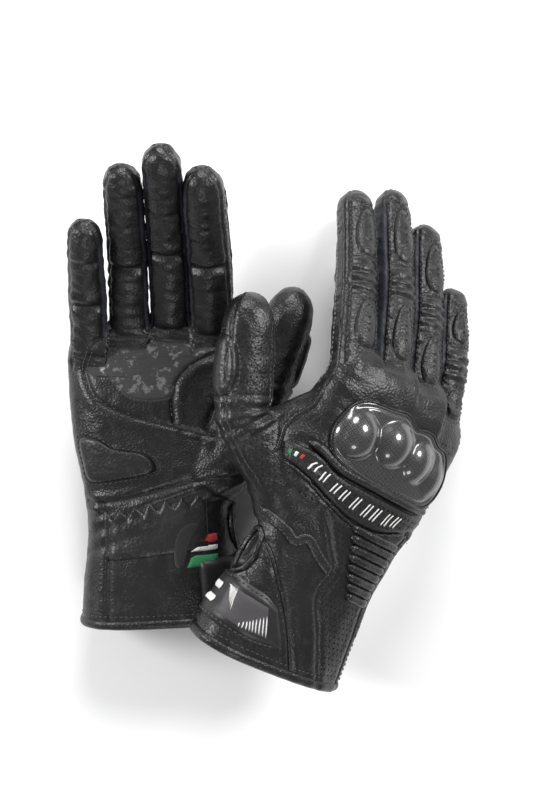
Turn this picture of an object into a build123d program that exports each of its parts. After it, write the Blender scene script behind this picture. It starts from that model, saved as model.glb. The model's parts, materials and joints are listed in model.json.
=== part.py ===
from build123d import *
import os
from math import sqrt

# A pair of short-cuff leather riding gloves, both for the right hand, laid one over the other.
# Glove frame: origin at the wrist's middle, +Y to the fingers, -X the thumb side, +Z the back of the hand.
# Row frame: +Z up, origin under the middle of the pair, on the surface that it lies on. Millimetres.

# Materials and clearances
LEATHER = 1.6           # wall of every leather shell
SUEDE = 1.0             # patches laid on the leather
ARMOUR = 2.6            # padded pieces on the finger backs
GUARD = 2.0             # wall of the hard knuckle guard
PIPING = 1.6            # radius of the rolled cuff edge
JOINT_GAP = 0.3         # half of the slit at each bending line
RUN_GAP = 0.6           # room round a piece that moves beside another body
ROUNDNESS = 0.92        # corner radius of the hand's oval, as a share of half its thickness

# Hand shell
WRIST_WIDTH = 68.0
WRIST_THICKNESS = 35.0
PALM_WIDTH = 84.0
PALM_THICKNESS = 35.0
PALM_Y = 36.0           # where the hand is widest and thickest
KNUCKLE_WIDTH = 86.0
KNUCKLE_THICKNESS = 28.5
HAND_END = 98.0
SIDE_SEAM_X = 32.0      # the back and palm panels meet the side panels here
ROOF = 8.0              # leather that covers each finger's root past its knuckle

# Patches on the palm: middle, size, corner radius
HEEL_MIDDLE = (19.0, 26.5)
HEEL_SIZE = (37.0, 23.0)
HEEL_CORNER = 9.0
GRIP_MIDDLE = (-4.0, 72.0)
GRIP_SIZE = (48.0, 30.0)
GRIP_CORNER = 8.0

# Cuff
CUFF_LENGTH = 58.0
CUFF_WIDTH = 82.0
CUFF_THICKNESS = 41.0
WRIST_BEND = 30.0       # bend of the wrist each way
OVERLAY_Y = -6.0        # patch across the wrist on the palm side, from its front edge
OVERLAY_DEPTH = 14.0
OVERLAY_HALF_WIDTH = 26.0

# Wrist accordion on the back
ACCORDION_RIBS = 8
ACCORDION_FROM = -15.0
ACCORDION_TO = 21.0
ACCORDION_WIDTH = 40.0
RIB_RADIUS = 1.5

# Closure strap
STRAP_WIDTH = 23.0
STRAP_THICKNESS = 2.0
STRAP_Y = -38.0
STRAP_BACK_END = -6.0   # where the tab ends on the back
STRAP_ROOT_END = -10.0  # where its root ends on the palm side
STRAP_HINGE_X = -33.0   # the fold that it peels open about
STRAP_OPEN = 70.0
PATCH_INSET = 3.0       # loop patch inside the tab's outline

# Slit on the thumb side of the wrist
SLIT_LENGTH = 18.0
SLIT_HEIGHT = 8.0
SLIT_Y = -14.0

# Fingers: knuckle place, lengths of both segments, outer radii at knuckle, middle joint and tip
FINGERS = {
    "index": {"knuckle": (-31, 84, 0), "base": 48, "tip": 55, "radii": (9.7, 9.3, 8.3)},
    "middle": {"knuckle": (-10, 88, 1), "base": 52, "tip": 60, "radii": (9.7, 9.3, 8.3)},
    "ring": {"knuckle": (11, 85, 0), "base": 48, "tip": 56, "radii": (9.6, 9.2, 8.2)},
    "little": {"knuckle": (31, 76, -2), "base": 38, "tip": 46, "radii": (9.0, 8.5, 7.6)},
}
KNUCKLE_FLEX = 60.0     # from straight to fully bent
MIDDLE_FLEX = 66.0
BACK_ARC = 100.0        # share of a finger's round that its back leather covers, in degrees
PAD_HALF_WIDTH = 6.4
PAD_ENDS = 11.0         # from each pad to the nearest bending line

# Thumb
THUMB_ROOT = (-33, 18, -6)
THUMB_BASE = 44.0
THUMB_TIP = 58.0
THUMB_RADII = (13.0, 12.6, 11.2)
THUMB_START = 4.0       # from the swing axis to the sleeve's mouth
THUMB_SPREAD = (27.0, 56.0)   # least and greatest angle from +Y
THUMB_BEND = (0.0, 50.0)
THUMB_SLIDER = (6.0, 34.0, 9.0)   # start and end past the joint, half width
THUMB_SLIDER_TURN = -70.0
THUMB_GRIP = (16.0, 42.0, 8.0)
THUMB_GRIP_TURN = 110.0

# Hard knuckle guard: one dome over each knuckle
DOMES = {"index": (12.5, 8.5), "middle": (11.5, 8.0), "ring": (10.5, 7.0), "little": (8.5, 5.5)}
DOME_SETBACK = 21.0     # each dome's middle, behind its knuckle
GUARD_DEPTH = 32.0      # the plate's size along Y
GUARD_HALF_WIDTH = 37.0
GUARD_CORNER = 13.0
GUARD_X = -2.0
GUARD_TURN = -5.0
DOME_SPREAD = 0.93      # how far apart the domes stand, as a share of the knuckles' spacing
LITTLE_DROP = 1.5       # the little finger's dome sits lower
ROLL_WIDTH = 5.5        # padded roll behind the guard
BAND_WIDTH = 15.0       # slanted band behind the roll
BAND_DROP = 2.5         # from the roll to the band's middle line, beyond their half widths
BAND_TURN = -8.0

# How each glove lies: turn, rise of the fingers, roll, place of the wrist; its fingers' rest angles;
# and the angles at which a joint stops sooner than its full range because it meets the other glove
# or its own index finger
PLACES = {
    "glove_a": {
        "turn": 2.0, "rise": 5.5, "roll": 180.0, "wrist": (-56.0, -55.0, 26.0),
        "knuckle": {"index": 29, "middle": 31, "ring": 28, "little": 29},
        "middle": {"index": 15, "middle": 13, "ring": 14, "little": 8},
        "splay": {"index": 0, "middle": 2.5, "ring": 4.5, "little": 6},
        "thumb": (31, 0, 10),
        "stops": {"wrist": 2, "strap": 38, "thumb_swing": 28, "thumb_joint": 28},
    },
    "glove_b": {
        "turn": -27.5, "rise": 1.5, "roll": 30.0, "wrist": (26.5, -76.0, 55.0),
        "knuckle": {"index": 29, "middle": 28, "ring": 25, "little": 15},
        "middle": {"index": 6, "middle": 8, "ring": 8, "little": 16},
        "splay": {"index": 9.5, "middle": 9, "ring": 8.5, "little": 7.5},
        "thumb": (52, 13, 30),
        "stops": {"wrist": 1, "thumb_swing": 30, "index_knuckle": 52},
    },
}
LIFT = 300.0            # how far the upper glove lifts off the lower one


def block(x0, x1, y0, y1, z0, z1):
    """A box between two corners."""
    middle = Pos((x0 + x1) / 2, (y0 + y1) / 2, (z0 + z1) / 2)
    return middle * Box(x1 - x0, y1 - y0, z1 - z0)


def oval(y, width, thickness, grow):
    """The hand's flat oval section at one place along Y, grown outwards."""
    plane = Plane(origin=(0, y, 0), x_dir=(1, 0, 0), z_dir=(0, -1, 0))
    radius = (thickness / 2 + grow) * ROUNDNESS
    return plane * RectangleRounded(width + 2 * grow, thickness + 2 * grow, radius)


def hand_body(grow):
    """The closed form of the hand from wrist to finger roots."""
    sections = [
        oval(0, WRIST_WIDTH, WRIST_THICKNESS, grow),
        oval(PALM_Y, PALM_WIDTH, PALM_THICKNESS, grow),
        oval(HAND_END, KNUCKLE_WIDTH, KNUCKLE_THICKNESS, grow),
    ]
    return loft(sections, ruled=True)


def cuff_body(grow):
    """The closed form of the cuff from wrist to open end."""
    sections = [
        oval(-CUFF_LENGTH, CUFF_WIDTH, CUFF_THICKNESS, grow),
        oval(0, WRIST_WIDTH, WRIST_THICKNESS, grow),
    ]
    return loft(sections, ruled=True)


def layer(body, low, high):
    """A skin of a body between two heights over its surface."""
    return body(high) - body(low)


def carve(piece, tools):
    """A piece with each tool taken away in turn."""
    for tool in tools:
        piece = piece - tool
    return piece


def half_height(y):
    """The hand's half thickness at one place along Y."""
    share = (y - PALM_Y) / (HAND_END - PALM_Y)
    return (PALM_THICKNESS + share * (KNUCKLE_THICKNESS - PALM_THICKNESS)) / 2


def tube(start_radius, end_radius, y0, y1):
    """A round tapered bar along +Y."""
    bar = Cone(start_radius, end_radius, y1 - y0)
    return Pos(0, (y0 + y1) / 2, 0) * Rot(X=-90) * bar


def wedge(arc, turn, length):
    """A wedge about the Y axis that picks one wall out of a sleeve. Turn 0 faces +Z."""
    height = 60.0
    half = height * tan_deg(arc / 2)
    outline = Polyline((0, 0), (half, height), (-half, height), close=True)
    return Rot(Y=turn) * extrude(make_face(Plane.XZ * outline), length, both=True)


def past_bend(angle, roof=None):
    """What a bending line cuts off a piece behind it: all past a plane that leans back below the axis."""
    reach = 60.0
    top = roof if roof is not None else reach
    lean = reach * tan_deg(angle)
    outline = Polyline(
        (-JOINT_GAP, top), (-JOINT_GAP, 0), (-JOINT_GAP - lean, -reach),
        (2 * reach, -reach), (2 * reach, top), close=True)
    face = make_face(Plane.YZ * outline)
    return extrude(face, reach, both=True)


def tan_deg(angle):
    """Tangent of an angle in degrees."""
    return Vector(1, 0, 0).rotate(Axis.Z, angle).Y / Vector(1, 0, 0).rotate(Axis.Z, angle).X


def before_bend(angle):
    """What a bending line cuts off a piece past it."""
    return mirror(past_bend(angle), Plane.XZ)


def walls(outer, inner, length):
    """A sleeve's four walls as separate pieces: back, palm and the two side strips."""
    sleeve = outer - inner
    side_arc = 180 - BACK_ARC
    picks = ((BACK_ARC, 0), (side_arc, 90), (BACK_ARC, 180), (side_arc, 270))
    return [sleeve & wedge(arc, turn, length) for arc, turn in picks]


def sleeve_walls(r0, r1, y0, y1):
    """The four leather walls of a round tapered sleeve."""
    inner = tube(r0 - LEATHER, r1 - LEATHER, y0, y1)
    return walls(tube(r0, r1, y0, y1), inner, 4 * (abs(y0) + abs(y1)))


def tip_cap(radius, y):
    """The sewn, rounded end of a sleeve."""
    dome = Sphere(radius) - Sphere(radius - LEATHER)
    return Pos(0, y, 0) * (dome & block(-radius, radius, 0, radius, -radius, radius))


def pad(r0, r1, y0, y1, start, end, thickness, half_width):
    """A padded piece lying on the back of a sleeve, from start to end."""
    skin = tube(r0 + thickness, r1 + thickness, y0, y1) - tube(r0, r1, y0, y1)
    outline = Pos(0, (start + end) / 2) * Ellipse(half_width, (end - start) / 2)
    return skin & extrude(outline, 40)


def finger_base(size):
    """The sleeve from knuckle to middle joint, with its armour pad, along +Y from the knuckle."""
    r0, r1, _ = size["radii"]
    length = size["base"]
    cuts = [before_bend(KNUCKLE_FLEX / 2 + 1), Pos(0, length, 0) * past_bend(MIDDLE_FLEX / 2 + 1)]
    pieces = [carve(wall, cuts) for wall in sleeve_walls(r0, r1, 0, length)]
    pieces.append(pad(r0, r1, 0, length, ROOF + RUN_GAP + 1, length - PAD_ENDS, ARMOUR, PAD_HALF_WIDTH))
    return pieces


def finger_tip(size):
    """The sleeve from middle joint to tip, along +Y from the middle joint."""
    _, r1, r2 = size["radii"]
    length = size["tip"] - r2
    cut = before_bend(MIDDLE_FLEX / 2 + 1)
    pieces = [wall - cut for wall in sleeve_walls(r1, r2, 0, length)]
    pieces.append(tip_cap(r2, length))
    pieces.append(pad(r1, r2, 0, length, PAD_ENDS, length - PAD_ENDS + 2, ARMOUR, PAD_HALF_WIDTH))
    return pieces


def knuckle_place(name, rest):
    """Where a finger's base starts, bent by its rest angle."""
    size = FINGERS[name]
    return Pos(*size["knuckle"]) * Rot(Z=rest["splay"][name]) * Rot(X=-rest["knuckle"][name])


def middle_place(name, rest):
    """Where a finger's tip segment starts."""
    return knuckle_place(name, rest) * Pos(0, FINGERS[name]["base"], 0) * Rot(X=-rest["middle"][name])


def thumb_place(rest, spread=None):
    """Where the thumb's base starts, at its rest spread or another."""
    angle, drop, _ = rest["thumb"]
    angle = angle if spread is None else spread
    return Pos(*THUMB_ROOT) * Rot(Z=angle) * Rot(X=-drop)


def thumb_tip_place(rest):
    """Where the thumb's tip segment starts."""
    return thumb_place(rest) * Pos(0, THUMB_BASE, 0) * Rot(Z=-rest["thumb"][2])


def thumb_room(rest):
    """The space that the thumb's sleeve sweeps, with room round it."""
    r0, r1, _ = THUMB_RADII
    low, high = THUMB_SPREAD
    steps = 4
    round_root = sqrt(r0 ** 2 + THUMB_START ** 2) + RUN_GAP
    root = Pos(*THUMB_ROOT) * Rot(X=-rest["thumb"][1] / 2)
    tools = [root * Cylinder(round_root, 2 * (r0 + 1.5 * RUN_GAP))]
    bar = tube(r0 + 2 * RUN_GAP, r1 + 2 * RUN_GAP, THUMB_START / 2, THUMB_BASE + THUMB_TIP)
    for step in range(steps + 1):
        spread = low + (high - low) * step / steps
        tools.append(thumb_place(rest, spread) * bar)
    return tools


def finger_roots():
    """What the bending lines of the four fingers cut off the hand."""
    tools = []
    for name, size in FINGERS.items():
        x, y, z = size["knuckle"]
        left = -60 if name == "index" else -10.5
        right = 60 if name == "little" else 10.5
        roof = size["radii"][0] + RUN_GAP
        below = past_bend(KNUCKLE_FLEX / 2 + 1, roof) & block(left, right, -60, 120, -60, 60)
        above = block(left, right, ROOF, 120, 0, 60)
        tools += [Pos(x, y, z) * below, Pos(x, y, z) * above]
    return tools


def hand_pieces(rest):
    """The pieces that are sewn into one body round the palm."""
    wrist_cut = WRIST_BEND / 2 + 1
    wrist = [before_bend(wrist_cut), mirror(before_bend(wrist_cut), Plane.XY)]
    room = wrist + finger_roots() + thumb_room(rest)
    shell = carve(layer(hand_body, -LEATHER, 0), room)
    under = carve(layer(hand_body, 0, SUEDE), room)
    far = 80
    side = SIDE_SEAM_X
    accordion = accordion_room()
    heel = Pos(*HEEL_MIDDLE) * RectangleRounded(*HEEL_SIZE, HEEL_CORNER)
    grip = Pos(*GRIP_MIDDLE) * RectangleRounded(*GRIP_SIZE, GRIP_CORNER)
    return {
        "palm_panel": shell & block(-side, side, -far, 2 * far, -far, 0),
        "back_panel": (shell & block(-side, side, -far, 2 * far, 0, far)) - accordion,
        "index_side_panel": shell & block(-far, -side, -far, 2 * far, -far, far),
        "outer_side_panel": shell & block(side, far, -far, 2 * far, -far, far),
        "heel_slider": carve(layer(hand_body, 0, ARMOUR), room) & extrude(heel, -40),
        "palm_grip": under & extrude(grip, -40),
        **guard_pieces(room),
    }


def dome(name, grow):
    """One knuckle's dome as a full ball, grown outwards."""
    width, height = DOMES[name]
    x, y, _ = FINGERS[name]["knuckle"]
    level = half_height(y - DOME_SETBACK) - (LITTLE_DROP if name == "little" else 0)
    radius = (width ** 2 + height ** 2) / (2 * height)
    return Pos(x * DOME_SPREAD, y - DOME_SETBACK, level + height - radius) * Sphere(radius + grow)


def guard_pieces(room):
    """The hard guard, the foam inside its domes, the padded roll behind and the slanted band."""
    middle_y = FINGERS["middle"]["knuckle"][1] - DOME_SETBACK - 3
    turned = Rot(Z=GUARD_TURN)
    plan = RectangleRounded(2 * GUARD_HALF_WIDTH, GUARD_DEPTH, GUARD_CORNER)
    outline = Pos(GUARD_X, middle_y) * turned * plan
    prism = extrude(outline, 60)
    solid_hand = hand_body(0)
    balls = dome("index", 0) + dome("middle", 0) + dome("ring", 0) + dome("little", 0)
    cores = dome("index", -GUARD) + dome("middle", -GUARD) + dome("ring", -GUARD) + dome("little", -GUARD)
    plate = carve(layer(hand_body, 0, GUARD) & prism, room)
    guard = (plate + ((balls - solid_hand) & prism)) - cores
    foam = (cores & prism) - solid_hand
    roll_y = middle_y - GUARD_DEPTH / 2 - ROLL_WIDTH / 2 - RUN_GAP
    roll_length = 2 * GUARD_HALF_WIDTH - ROLL_WIDTH
    roll = Pos(GUARD_X, roll_y) * turned * RectangleRounded(roll_length, ROLL_WIDTH, 0.45 * ROLL_WIDTH)
    band_y = roll_y - ROLL_WIDTH / 2 - BAND_DROP - BAND_WIDTH / 2
    band = Pos(2 * GUARD_X, band_y) * Rot(Z=BAND_TURN) * RectangleRounded(roll_length, BAND_WIDTH, 3)
    return {
        "knuckle_guard": guard,
        "knuckle_foam": foam,
        "knuckle_roll": carve(layer(hand_body, 0, ARMOUR) & extrude(roll, 60), room),
        "knuckle_band": carve(layer(hand_body, 0, LEATHER) & extrude(band, 60), room),
    }


def accordion_room():
    """The gap in the back of the wrist that the accordion fills."""
    half = ACCORDION_WIDTH / 2
    return block(-half, half, ACCORDION_FROM, ACCORDION_TO, 0, 60)


def accordion_piece():
    """Round ribs side by side on a thin backing, across the back of the wrist."""
    pitch = (ACCORDION_TO - ACCORDION_FROM) / ACCORDION_RIBS
    half = ACCORDION_WIDTH / 2
    hem = JOINT_GAP
    height = WRIST_THICKNESS / 2 - RIB_RADIUS
    backing = block(-half + hem, half - hem, ACCORDION_FROM + hem, ACCORDION_TO - hem,
                    height - LEATHER / 2, height + LEATHER / 2)
    rib = Rot(Y=90) * Cylinder(RIB_RADIUS, ACCORDION_WIDTH - 2 * hem)
    ribs = [Pos(0, ACCORDION_FROM + pitch * (i + 0.5), height) * rib for i in range(ACCORDION_RIBS)]
    piece = backing
    for one in ribs:
        piece = piece + one
    return piece


def strap_parts():
    """The strap, folded at the thumb side: the part that opens and the root that stays sewn."""
    half = STRAP_WIDTH / 2
    skin = layer(cuff_body, JOINT_GAP, JOINT_GAP + STRAP_THICKNESS)
    ring = skin & block(-80, 80, STRAP_Y - half, STRAP_Y + half, -80, 80)
    fold = STRAP_HINGE_X
    nose = Pos(STRAP_BACK_END - half, STRAP_Y) * Rot(Z=-45) * Rectangle(half * sqrt(2), half * sqrt(2))
    tab_end = block(-80, STRAP_BACK_END - half, -80, 0, 0, 80) + extrude(nose, 60)
    back = ring & tab_end
    turned = ring & block(-80, fold - JOINT_GAP, -80, 0, -80, 0)
    root_skin = layer(cuff_body, 0, JOINT_GAP + STRAP_THICKNESS)
    root = root_skin & block(fold + JOINT_GAP, STRAP_ROOT_END, STRAP_Y - half, STRAP_Y + half, -80, 0)
    return back + turned, root


def cuff_pieces():
    """The cuff's panels, its rolled edge, patches and the strap's sewn root."""
    wrist_cut = WRIST_BEND / 2 + 1
    wrist = [past_bend(wrist_cut), mirror(past_bend(wrist_cut), Plane.XY)]
    half_slit = SLIT_HEIGHT / 2
    slit = block(-80, -20, SLIT_Y - SLIT_LENGTH / 2, SLIT_Y + SLIT_LENGTH / 2, -half_slit, half_slit)
    room = wrist + [slit]
    edge = block(-80, 80, -80, -CUFF_LENGTH + 2 * PIPING, -80, 80)
    shell = carve(layer(cuff_body, -LEATHER, 0), room + [edge])
    far = 80
    half = STRAP_WIDTH / 2
    patch_high = JOINT_GAP - 0.1
    near, wide = STRAP_HINGE_X + 2 * PATCH_INSET, half - PATCH_INSET
    under_tab = block(near, STRAP_BACK_END - PATCH_INSET, STRAP_Y - wide, STRAP_Y + wide, 0, far)
    overlay = block(-OVERLAY_HALF_WIDTH, OVERLAY_HALF_WIDTH, OVERLAY_Y - OVERLAY_DEPTH, OVERLAY_Y, -far, 0)
    rim = block(-far, far, -CUFF_LENGTH, -CUFF_LENGTH + 2 * PIPING, -far, far)
    return {
        "cuff_back": (shell & block(-far, far, -far, far, 0, far)) - accordion_room(),
        "cuff_palm": shell & block(-far, far, -far, far, -far, 0),
        "cuff_edge": layer(cuff_body, -LEATHER, PIPING) & rim,
        "loop_patch": layer(cuff_body, 0, patch_high) & under_tab,
        "wrist_overlay": carve(layer(cuff_body, 0, SUEDE), room) & overlay,
        "strap_root": strap_parts()[1],
    }


def thumb_base_pieces():
    """The thumb's sleeve from its root to its joint, along +Y."""
    r0, r1, _ = THUMB_RADII
    sleeve = sleeve_walls(r0, r1, 0, THUMB_BASE)
    cuts = [block(-60, 60, -60, THUMB_START, -60, 60), Pos(0, THUMB_BASE, 0) * side_bend(True)]
    return [carve(wall, cuts) for wall in sleeve]


def side_bend(behind):
    """A thumb's bending line: it bends towards the fingers, so the notch opens on +X."""
    return Rot(Y=-90) * (past_bend(THUMB_BEND[1] / 2 + 1) if behind else before_bend(THUMB_BEND[1] / 2 + 1))


def thumb_tip_pieces():
    """The thumb's sleeve past its joint, with a rounded end."""
    _, r1, r2 = THUMB_RADII
    length = THUMB_TIP - r2
    pieces = [wall - side_bend(False) for wall in sleeve_walls(r1, r2, 0, length)]
    pieces.append(tip_cap(r2, length))
    return pieces


def thumb_slider():
    """A smooth plate on the thumb's outer side, past the joint."""
    _, r1, r2 = THUMB_RADII
    start, end, wide = THUMB_SLIDER
    plate = pad(r1, r2, 0, THUMB_TIP - r2, start, end, ARMOUR, wide)
    return Rot(Y=THUMB_SLIDER_TURN) * plate


def thumb_grip():
    """A grip patch on the thumb's inner side, past the joint."""
    _, r1, r2 = THUMB_RADII
    start, end, wide = THUMB_GRIP
    patch = pad(r1, r2, 0, THUMB_TIP - r2, start, end, SUEDE, wide)
    return Rot(Y=THUMB_GRIP_TURN) * patch


def glove_bodies(rest):
    """Every piece of one glove in the glove's frame, grouped by the body that it moves with."""
    bodies = {"hand": hand_pieces(rest), "cuff": cuff_pieces(), "strap": {"closure_strap": strap_parts()[0]}}
    bodies["hand"]["wrist_accordion"] = accordion_piece()
    for name, size in FINGERS.items():
        base_place = knuckle_place(name, rest)
        tip_place = middle_place(name, rest)
        bodies[name + "_base"] = {name + "_base": [base_place * piece for piece in finger_base(size)]}
        bodies[name + "_tip"] = {name + "_tip": [tip_place * piece for piece in finger_tip(size)]}
    tip_place = thumb_tip_place(rest)
    bodies["thumb_base"] = {"thumb_base": [thumb_place(rest) * piece for piece in thumb_base_pieces()]}
    bodies["thumb_tip"] = {
        "thumb_tip": [tip_place * piece for piece in thumb_tip_pieces()],
        "thumb_slider": tip_place * thumb_slider(),
        "thumb_grip": tip_place * thumb_grip(),
    }
    return bodies


def glove_joints(rest):
    """Each joint of one glove: parent, child, a place on the axis, the axis, and the range in degrees."""
    stop = rest["stops"].get
    bend = (-WRIST_BEND, stop("wrist", WRIST_BEND))
    joints = {"wrist": ("hand", "cuff", Pos(0, 0, 0), Vector(1, 0, 0), bend)}
    fold_z = -(CUFF_THICKNESS / 2 + JOINT_GAP + STRAP_THICKNESS / 2 - 1.5)
    fold = Pos(STRAP_HINGE_X, STRAP_Y, fold_z)
    joints["strap"] = ("cuff", "strap", fold, Vector(0, -1, 0), (0, stop("strap", STRAP_OPEN)))
    bend_axis = Vector(-1, 0, 0)
    for name in FINGERS:
        bent, most = rest["knuckle"][name], stop(name + "_knuckle", KNUCKLE_FLEX)
        joints[name + "_knuckle"] = (
            "hand", name + "_base", knuckle_place(name, rest), bend_axis, (-bent, most - bent))
        bent = rest["middle"][name]
        joints[name + "_middle"] = (
            name + "_base", name + "_tip", middle_place(name, rest), bend_axis, (-bent, MIDDLE_FLEX - bent))
    spread, _, bent = rest["thumb"]
    low, high = stop("thumb_swing", THUMB_SPREAD[0]), THUMB_SPREAD[1]
    joints["thumb_swing"] = (
        "hand", "thumb_base", Pos(*THUMB_ROOT), Vector(0, 0, 1), (low - spread, high - spread))
    low, high = THUMB_BEND[0], stop("thumb_joint", THUMB_BEND[1])
    joints["thumb_joint"] = (
        "thumb_base", "thumb_tip", thumb_tip_place(rest), Vector(0, 0, -1), (low - bent, high - bent))
    return joints


def glove_location(rest):
    """Where a glove's frame lies before the pair is set on the ground."""
    return Pos(*rest["wrist"]) * Rot(Z=rest["turn"]) * Rot(X=rest["rise"]) * Rot(Y=rest["roll"])


def as_list(piece):
    """The separate solids of a piece or of a list of pieces."""
    items = piece if isinstance(piece, list) else [piece]
    return [solid for item in items for solid in item.solids()]


def build_pair():
    """Every node's solids in the row frame, each glove's bodies, and the shift onto the ground."""
    nodes = {}
    bodies = {}
    for glove, rest in PLACES.items():
        place = glove_location(rest)
        for body, pieces in glove_bodies(rest).items():
            for name, piece in pieces.items():
                nodes[f"{glove}_{name}"] = [place * solid for solid in as_list(piece)]
                bodies.setdefault(f"{glove}_{body}", []).append(f"{glove}_{name}")
    box = Compound([solid for solids in nodes.values() for solid in solids]).bounding_box()
    shift = Pos(-(box.min.X + box.max.X) / 2, -(box.min.Y + box.max.Y) / 2, -box.min.Z)
    nodes = {name: [shift * solid for solid in solids] for name, solids in nodes.items()}
    return nodes, bodies, shift


def main():
    os.makedirs("parts", exist_ok=True)
    nodes, _, _ = build_pair()
    for name, solids in nodes.items():
        shape = solids[0] if len(solids) == 1 else Compound(solids)
        export_step(shape, f"parts/{name}.step")


if __name__ == "__main__":
    main()
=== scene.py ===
import json
import math

import bpy
import numpy as np
from bpy.props import FloatProperty, IntProperty, PointerProperty
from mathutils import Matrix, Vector
from mathutils.bvhtree import BVHTree


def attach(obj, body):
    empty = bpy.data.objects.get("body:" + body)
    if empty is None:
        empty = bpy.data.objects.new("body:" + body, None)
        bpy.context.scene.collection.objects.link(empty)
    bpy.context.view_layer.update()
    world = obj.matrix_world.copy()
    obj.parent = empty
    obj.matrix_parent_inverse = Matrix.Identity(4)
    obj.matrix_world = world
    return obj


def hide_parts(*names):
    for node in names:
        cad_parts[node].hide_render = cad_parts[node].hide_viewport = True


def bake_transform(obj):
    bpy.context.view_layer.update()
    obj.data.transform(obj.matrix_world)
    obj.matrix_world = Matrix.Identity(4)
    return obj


bl_info = {
    "name": "Leather riding gloves",
    "version": (1, 0, 0),
    "blender": (4, 5, 0),
    "location": "View3D > Sidebar > Gloves",
    "description": "Builds a pair of leather riding gloves round their packed frame",
    "category": "Add Mesh",
}

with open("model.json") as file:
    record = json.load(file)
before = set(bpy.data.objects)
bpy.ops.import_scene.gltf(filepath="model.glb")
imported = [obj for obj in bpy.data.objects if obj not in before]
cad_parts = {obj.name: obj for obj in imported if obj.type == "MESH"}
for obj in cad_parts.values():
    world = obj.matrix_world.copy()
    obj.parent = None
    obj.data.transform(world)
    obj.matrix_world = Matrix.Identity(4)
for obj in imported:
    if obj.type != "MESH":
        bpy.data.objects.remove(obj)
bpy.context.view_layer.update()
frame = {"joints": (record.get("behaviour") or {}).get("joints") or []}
JOINTS = {joint["name"]: joint for joint in frame["joints"]}
GLOVES = ("glove_a", "glove_b")
MM = 0.001

# The glove laid out flat with straight, spread fingers, in millimetres: origin at the wrist's middle,
# +Y to the fingers, -X the thumb side, +Z the back of the hand. Sections are
# (place along Y, middle X, half width, half thickness to the back, half thickness to the palm).
HAND_SECTIONS = (
    (-6, 0, 37.0, 16.8, 16.8),
    (12, -0.5, 38.5, 17.0, 17.0),
    (34, -2.0, 43.5, 17.5, 18.0),
    (60, -2.0, 45.0, 16.5, 17.0),
    (80, -2.0, 44.8, 14.5, 14.0),
    (92, -2.0, 43.5, 12.5, 11.5),
    (97.5, -2.0, 40.0, 9.0, 7.5),
)
CUFF_SECTIONS = (
    (4, 0, 37.0, 16.8, 16.8),
    (-14, 0, 37.5, 17.4, 17.4),
    (-36, 0, 40.5, 19.2, 19.2),
    (-64, 0, 44.0, 20.8, 20.8),
)
CUFF_END = -58.0
FINGERS = {
    "index": {"knuckle": (-33.0, 84, 0), "base": 48, "tip": 55, "fan": 5.0, "radii": (10.6, 10.3, 9.0)},
    "middle": {"knuckle": (-11.5, 88, 1), "base": 52, "tip": 60, "fan": 1.5, "radii": (9.8, 9.6, 8.6)},
    "ring": {"knuckle": (10.0, 85, 0), "base": 48, "tip": 56, "fan": -2.5, "radii": (9.7, 9.5, 8.5)},
    "little": {"knuckle": (31.0, 76, -2), "base": 38, "tip": 46, "fan": -7.5, "radii": (9.2, 8.8, 7.8)},
}
NAMES = tuple(FINGERS)
THUMB = {"root": (-33.0, 18, -6), "base": 44, "tip": 58, "spread": 42.0, "drop": 6.0,
         "radii": (14.0, 13.0, 11.4)}
SKIN_THICKNESS = 1.3


def smooth(value):
    """Goes from 0 to 1 with level ends."""
    t = np.clip(value, 0.0, 1.0)
    return t * t * (3 - 2 * t)


def bump(value, width):
    """A bell of height 1 round zero."""
    return np.exp(-(value / width) ** 2)


def turn(axis, degrees):
    """A rotation matrix about X, Y or Z."""
    angle = math.radians(degrees)
    c, s = math.cos(angle), math.sin(angle)
    if axis == "x":
        return np.array([[1, 0, 0], [0, c, -s], [0, s, c]])
    if axis == "y":
        return np.array([[c, 0, s], [0, 1, 0], [-s, 0, c]])
    return np.array([[c, -s, 0], [s, c, 0], [0, 0, 1]])


def unit(vectors):
    """Vectors scaled to length 1."""
    length = np.linalg.norm(vectors, axis=-1, keepdims=True)
    return vectors / np.maximum(length, 1e-9)


class Digit:
    """A finger or the thumb laid out straight: its root, its joint and its own axes."""

    def __init__(self, name, root, turned, base, tip, radii):
        self.name = name
        self.root = np.array(root, float)
        self.frame = turned
        self.base = float(base)
        self.length = float(base + tip)
        self.radii = radii
        self.joint = self.at(base)

    def at(self, s, x=0.0, z=0.0):
        """The point at a length along the digit, with offsets across it."""
        return self.root + self.frame @ np.array([x, s, z], float)

    def local(self, points):
        """Points in the digit's own axes: across, along, up."""
        return (points - self.root) @ self.frame


DIGITS = {
    name: Digit(name, size["knuckle"], turn("z", size["fan"]), size["base"], size["tip"], size["radii"])
    for name, size in FINGERS.items()
}
DIGITS["thumb"] = Digit(
    "thumb", THUMB["root"], turn("z", THUMB["spread"]) @ turn("x", -THUMB["drop"]),
    THUMB["base"], THUMB["tip"], THUMB["radii"])


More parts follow.
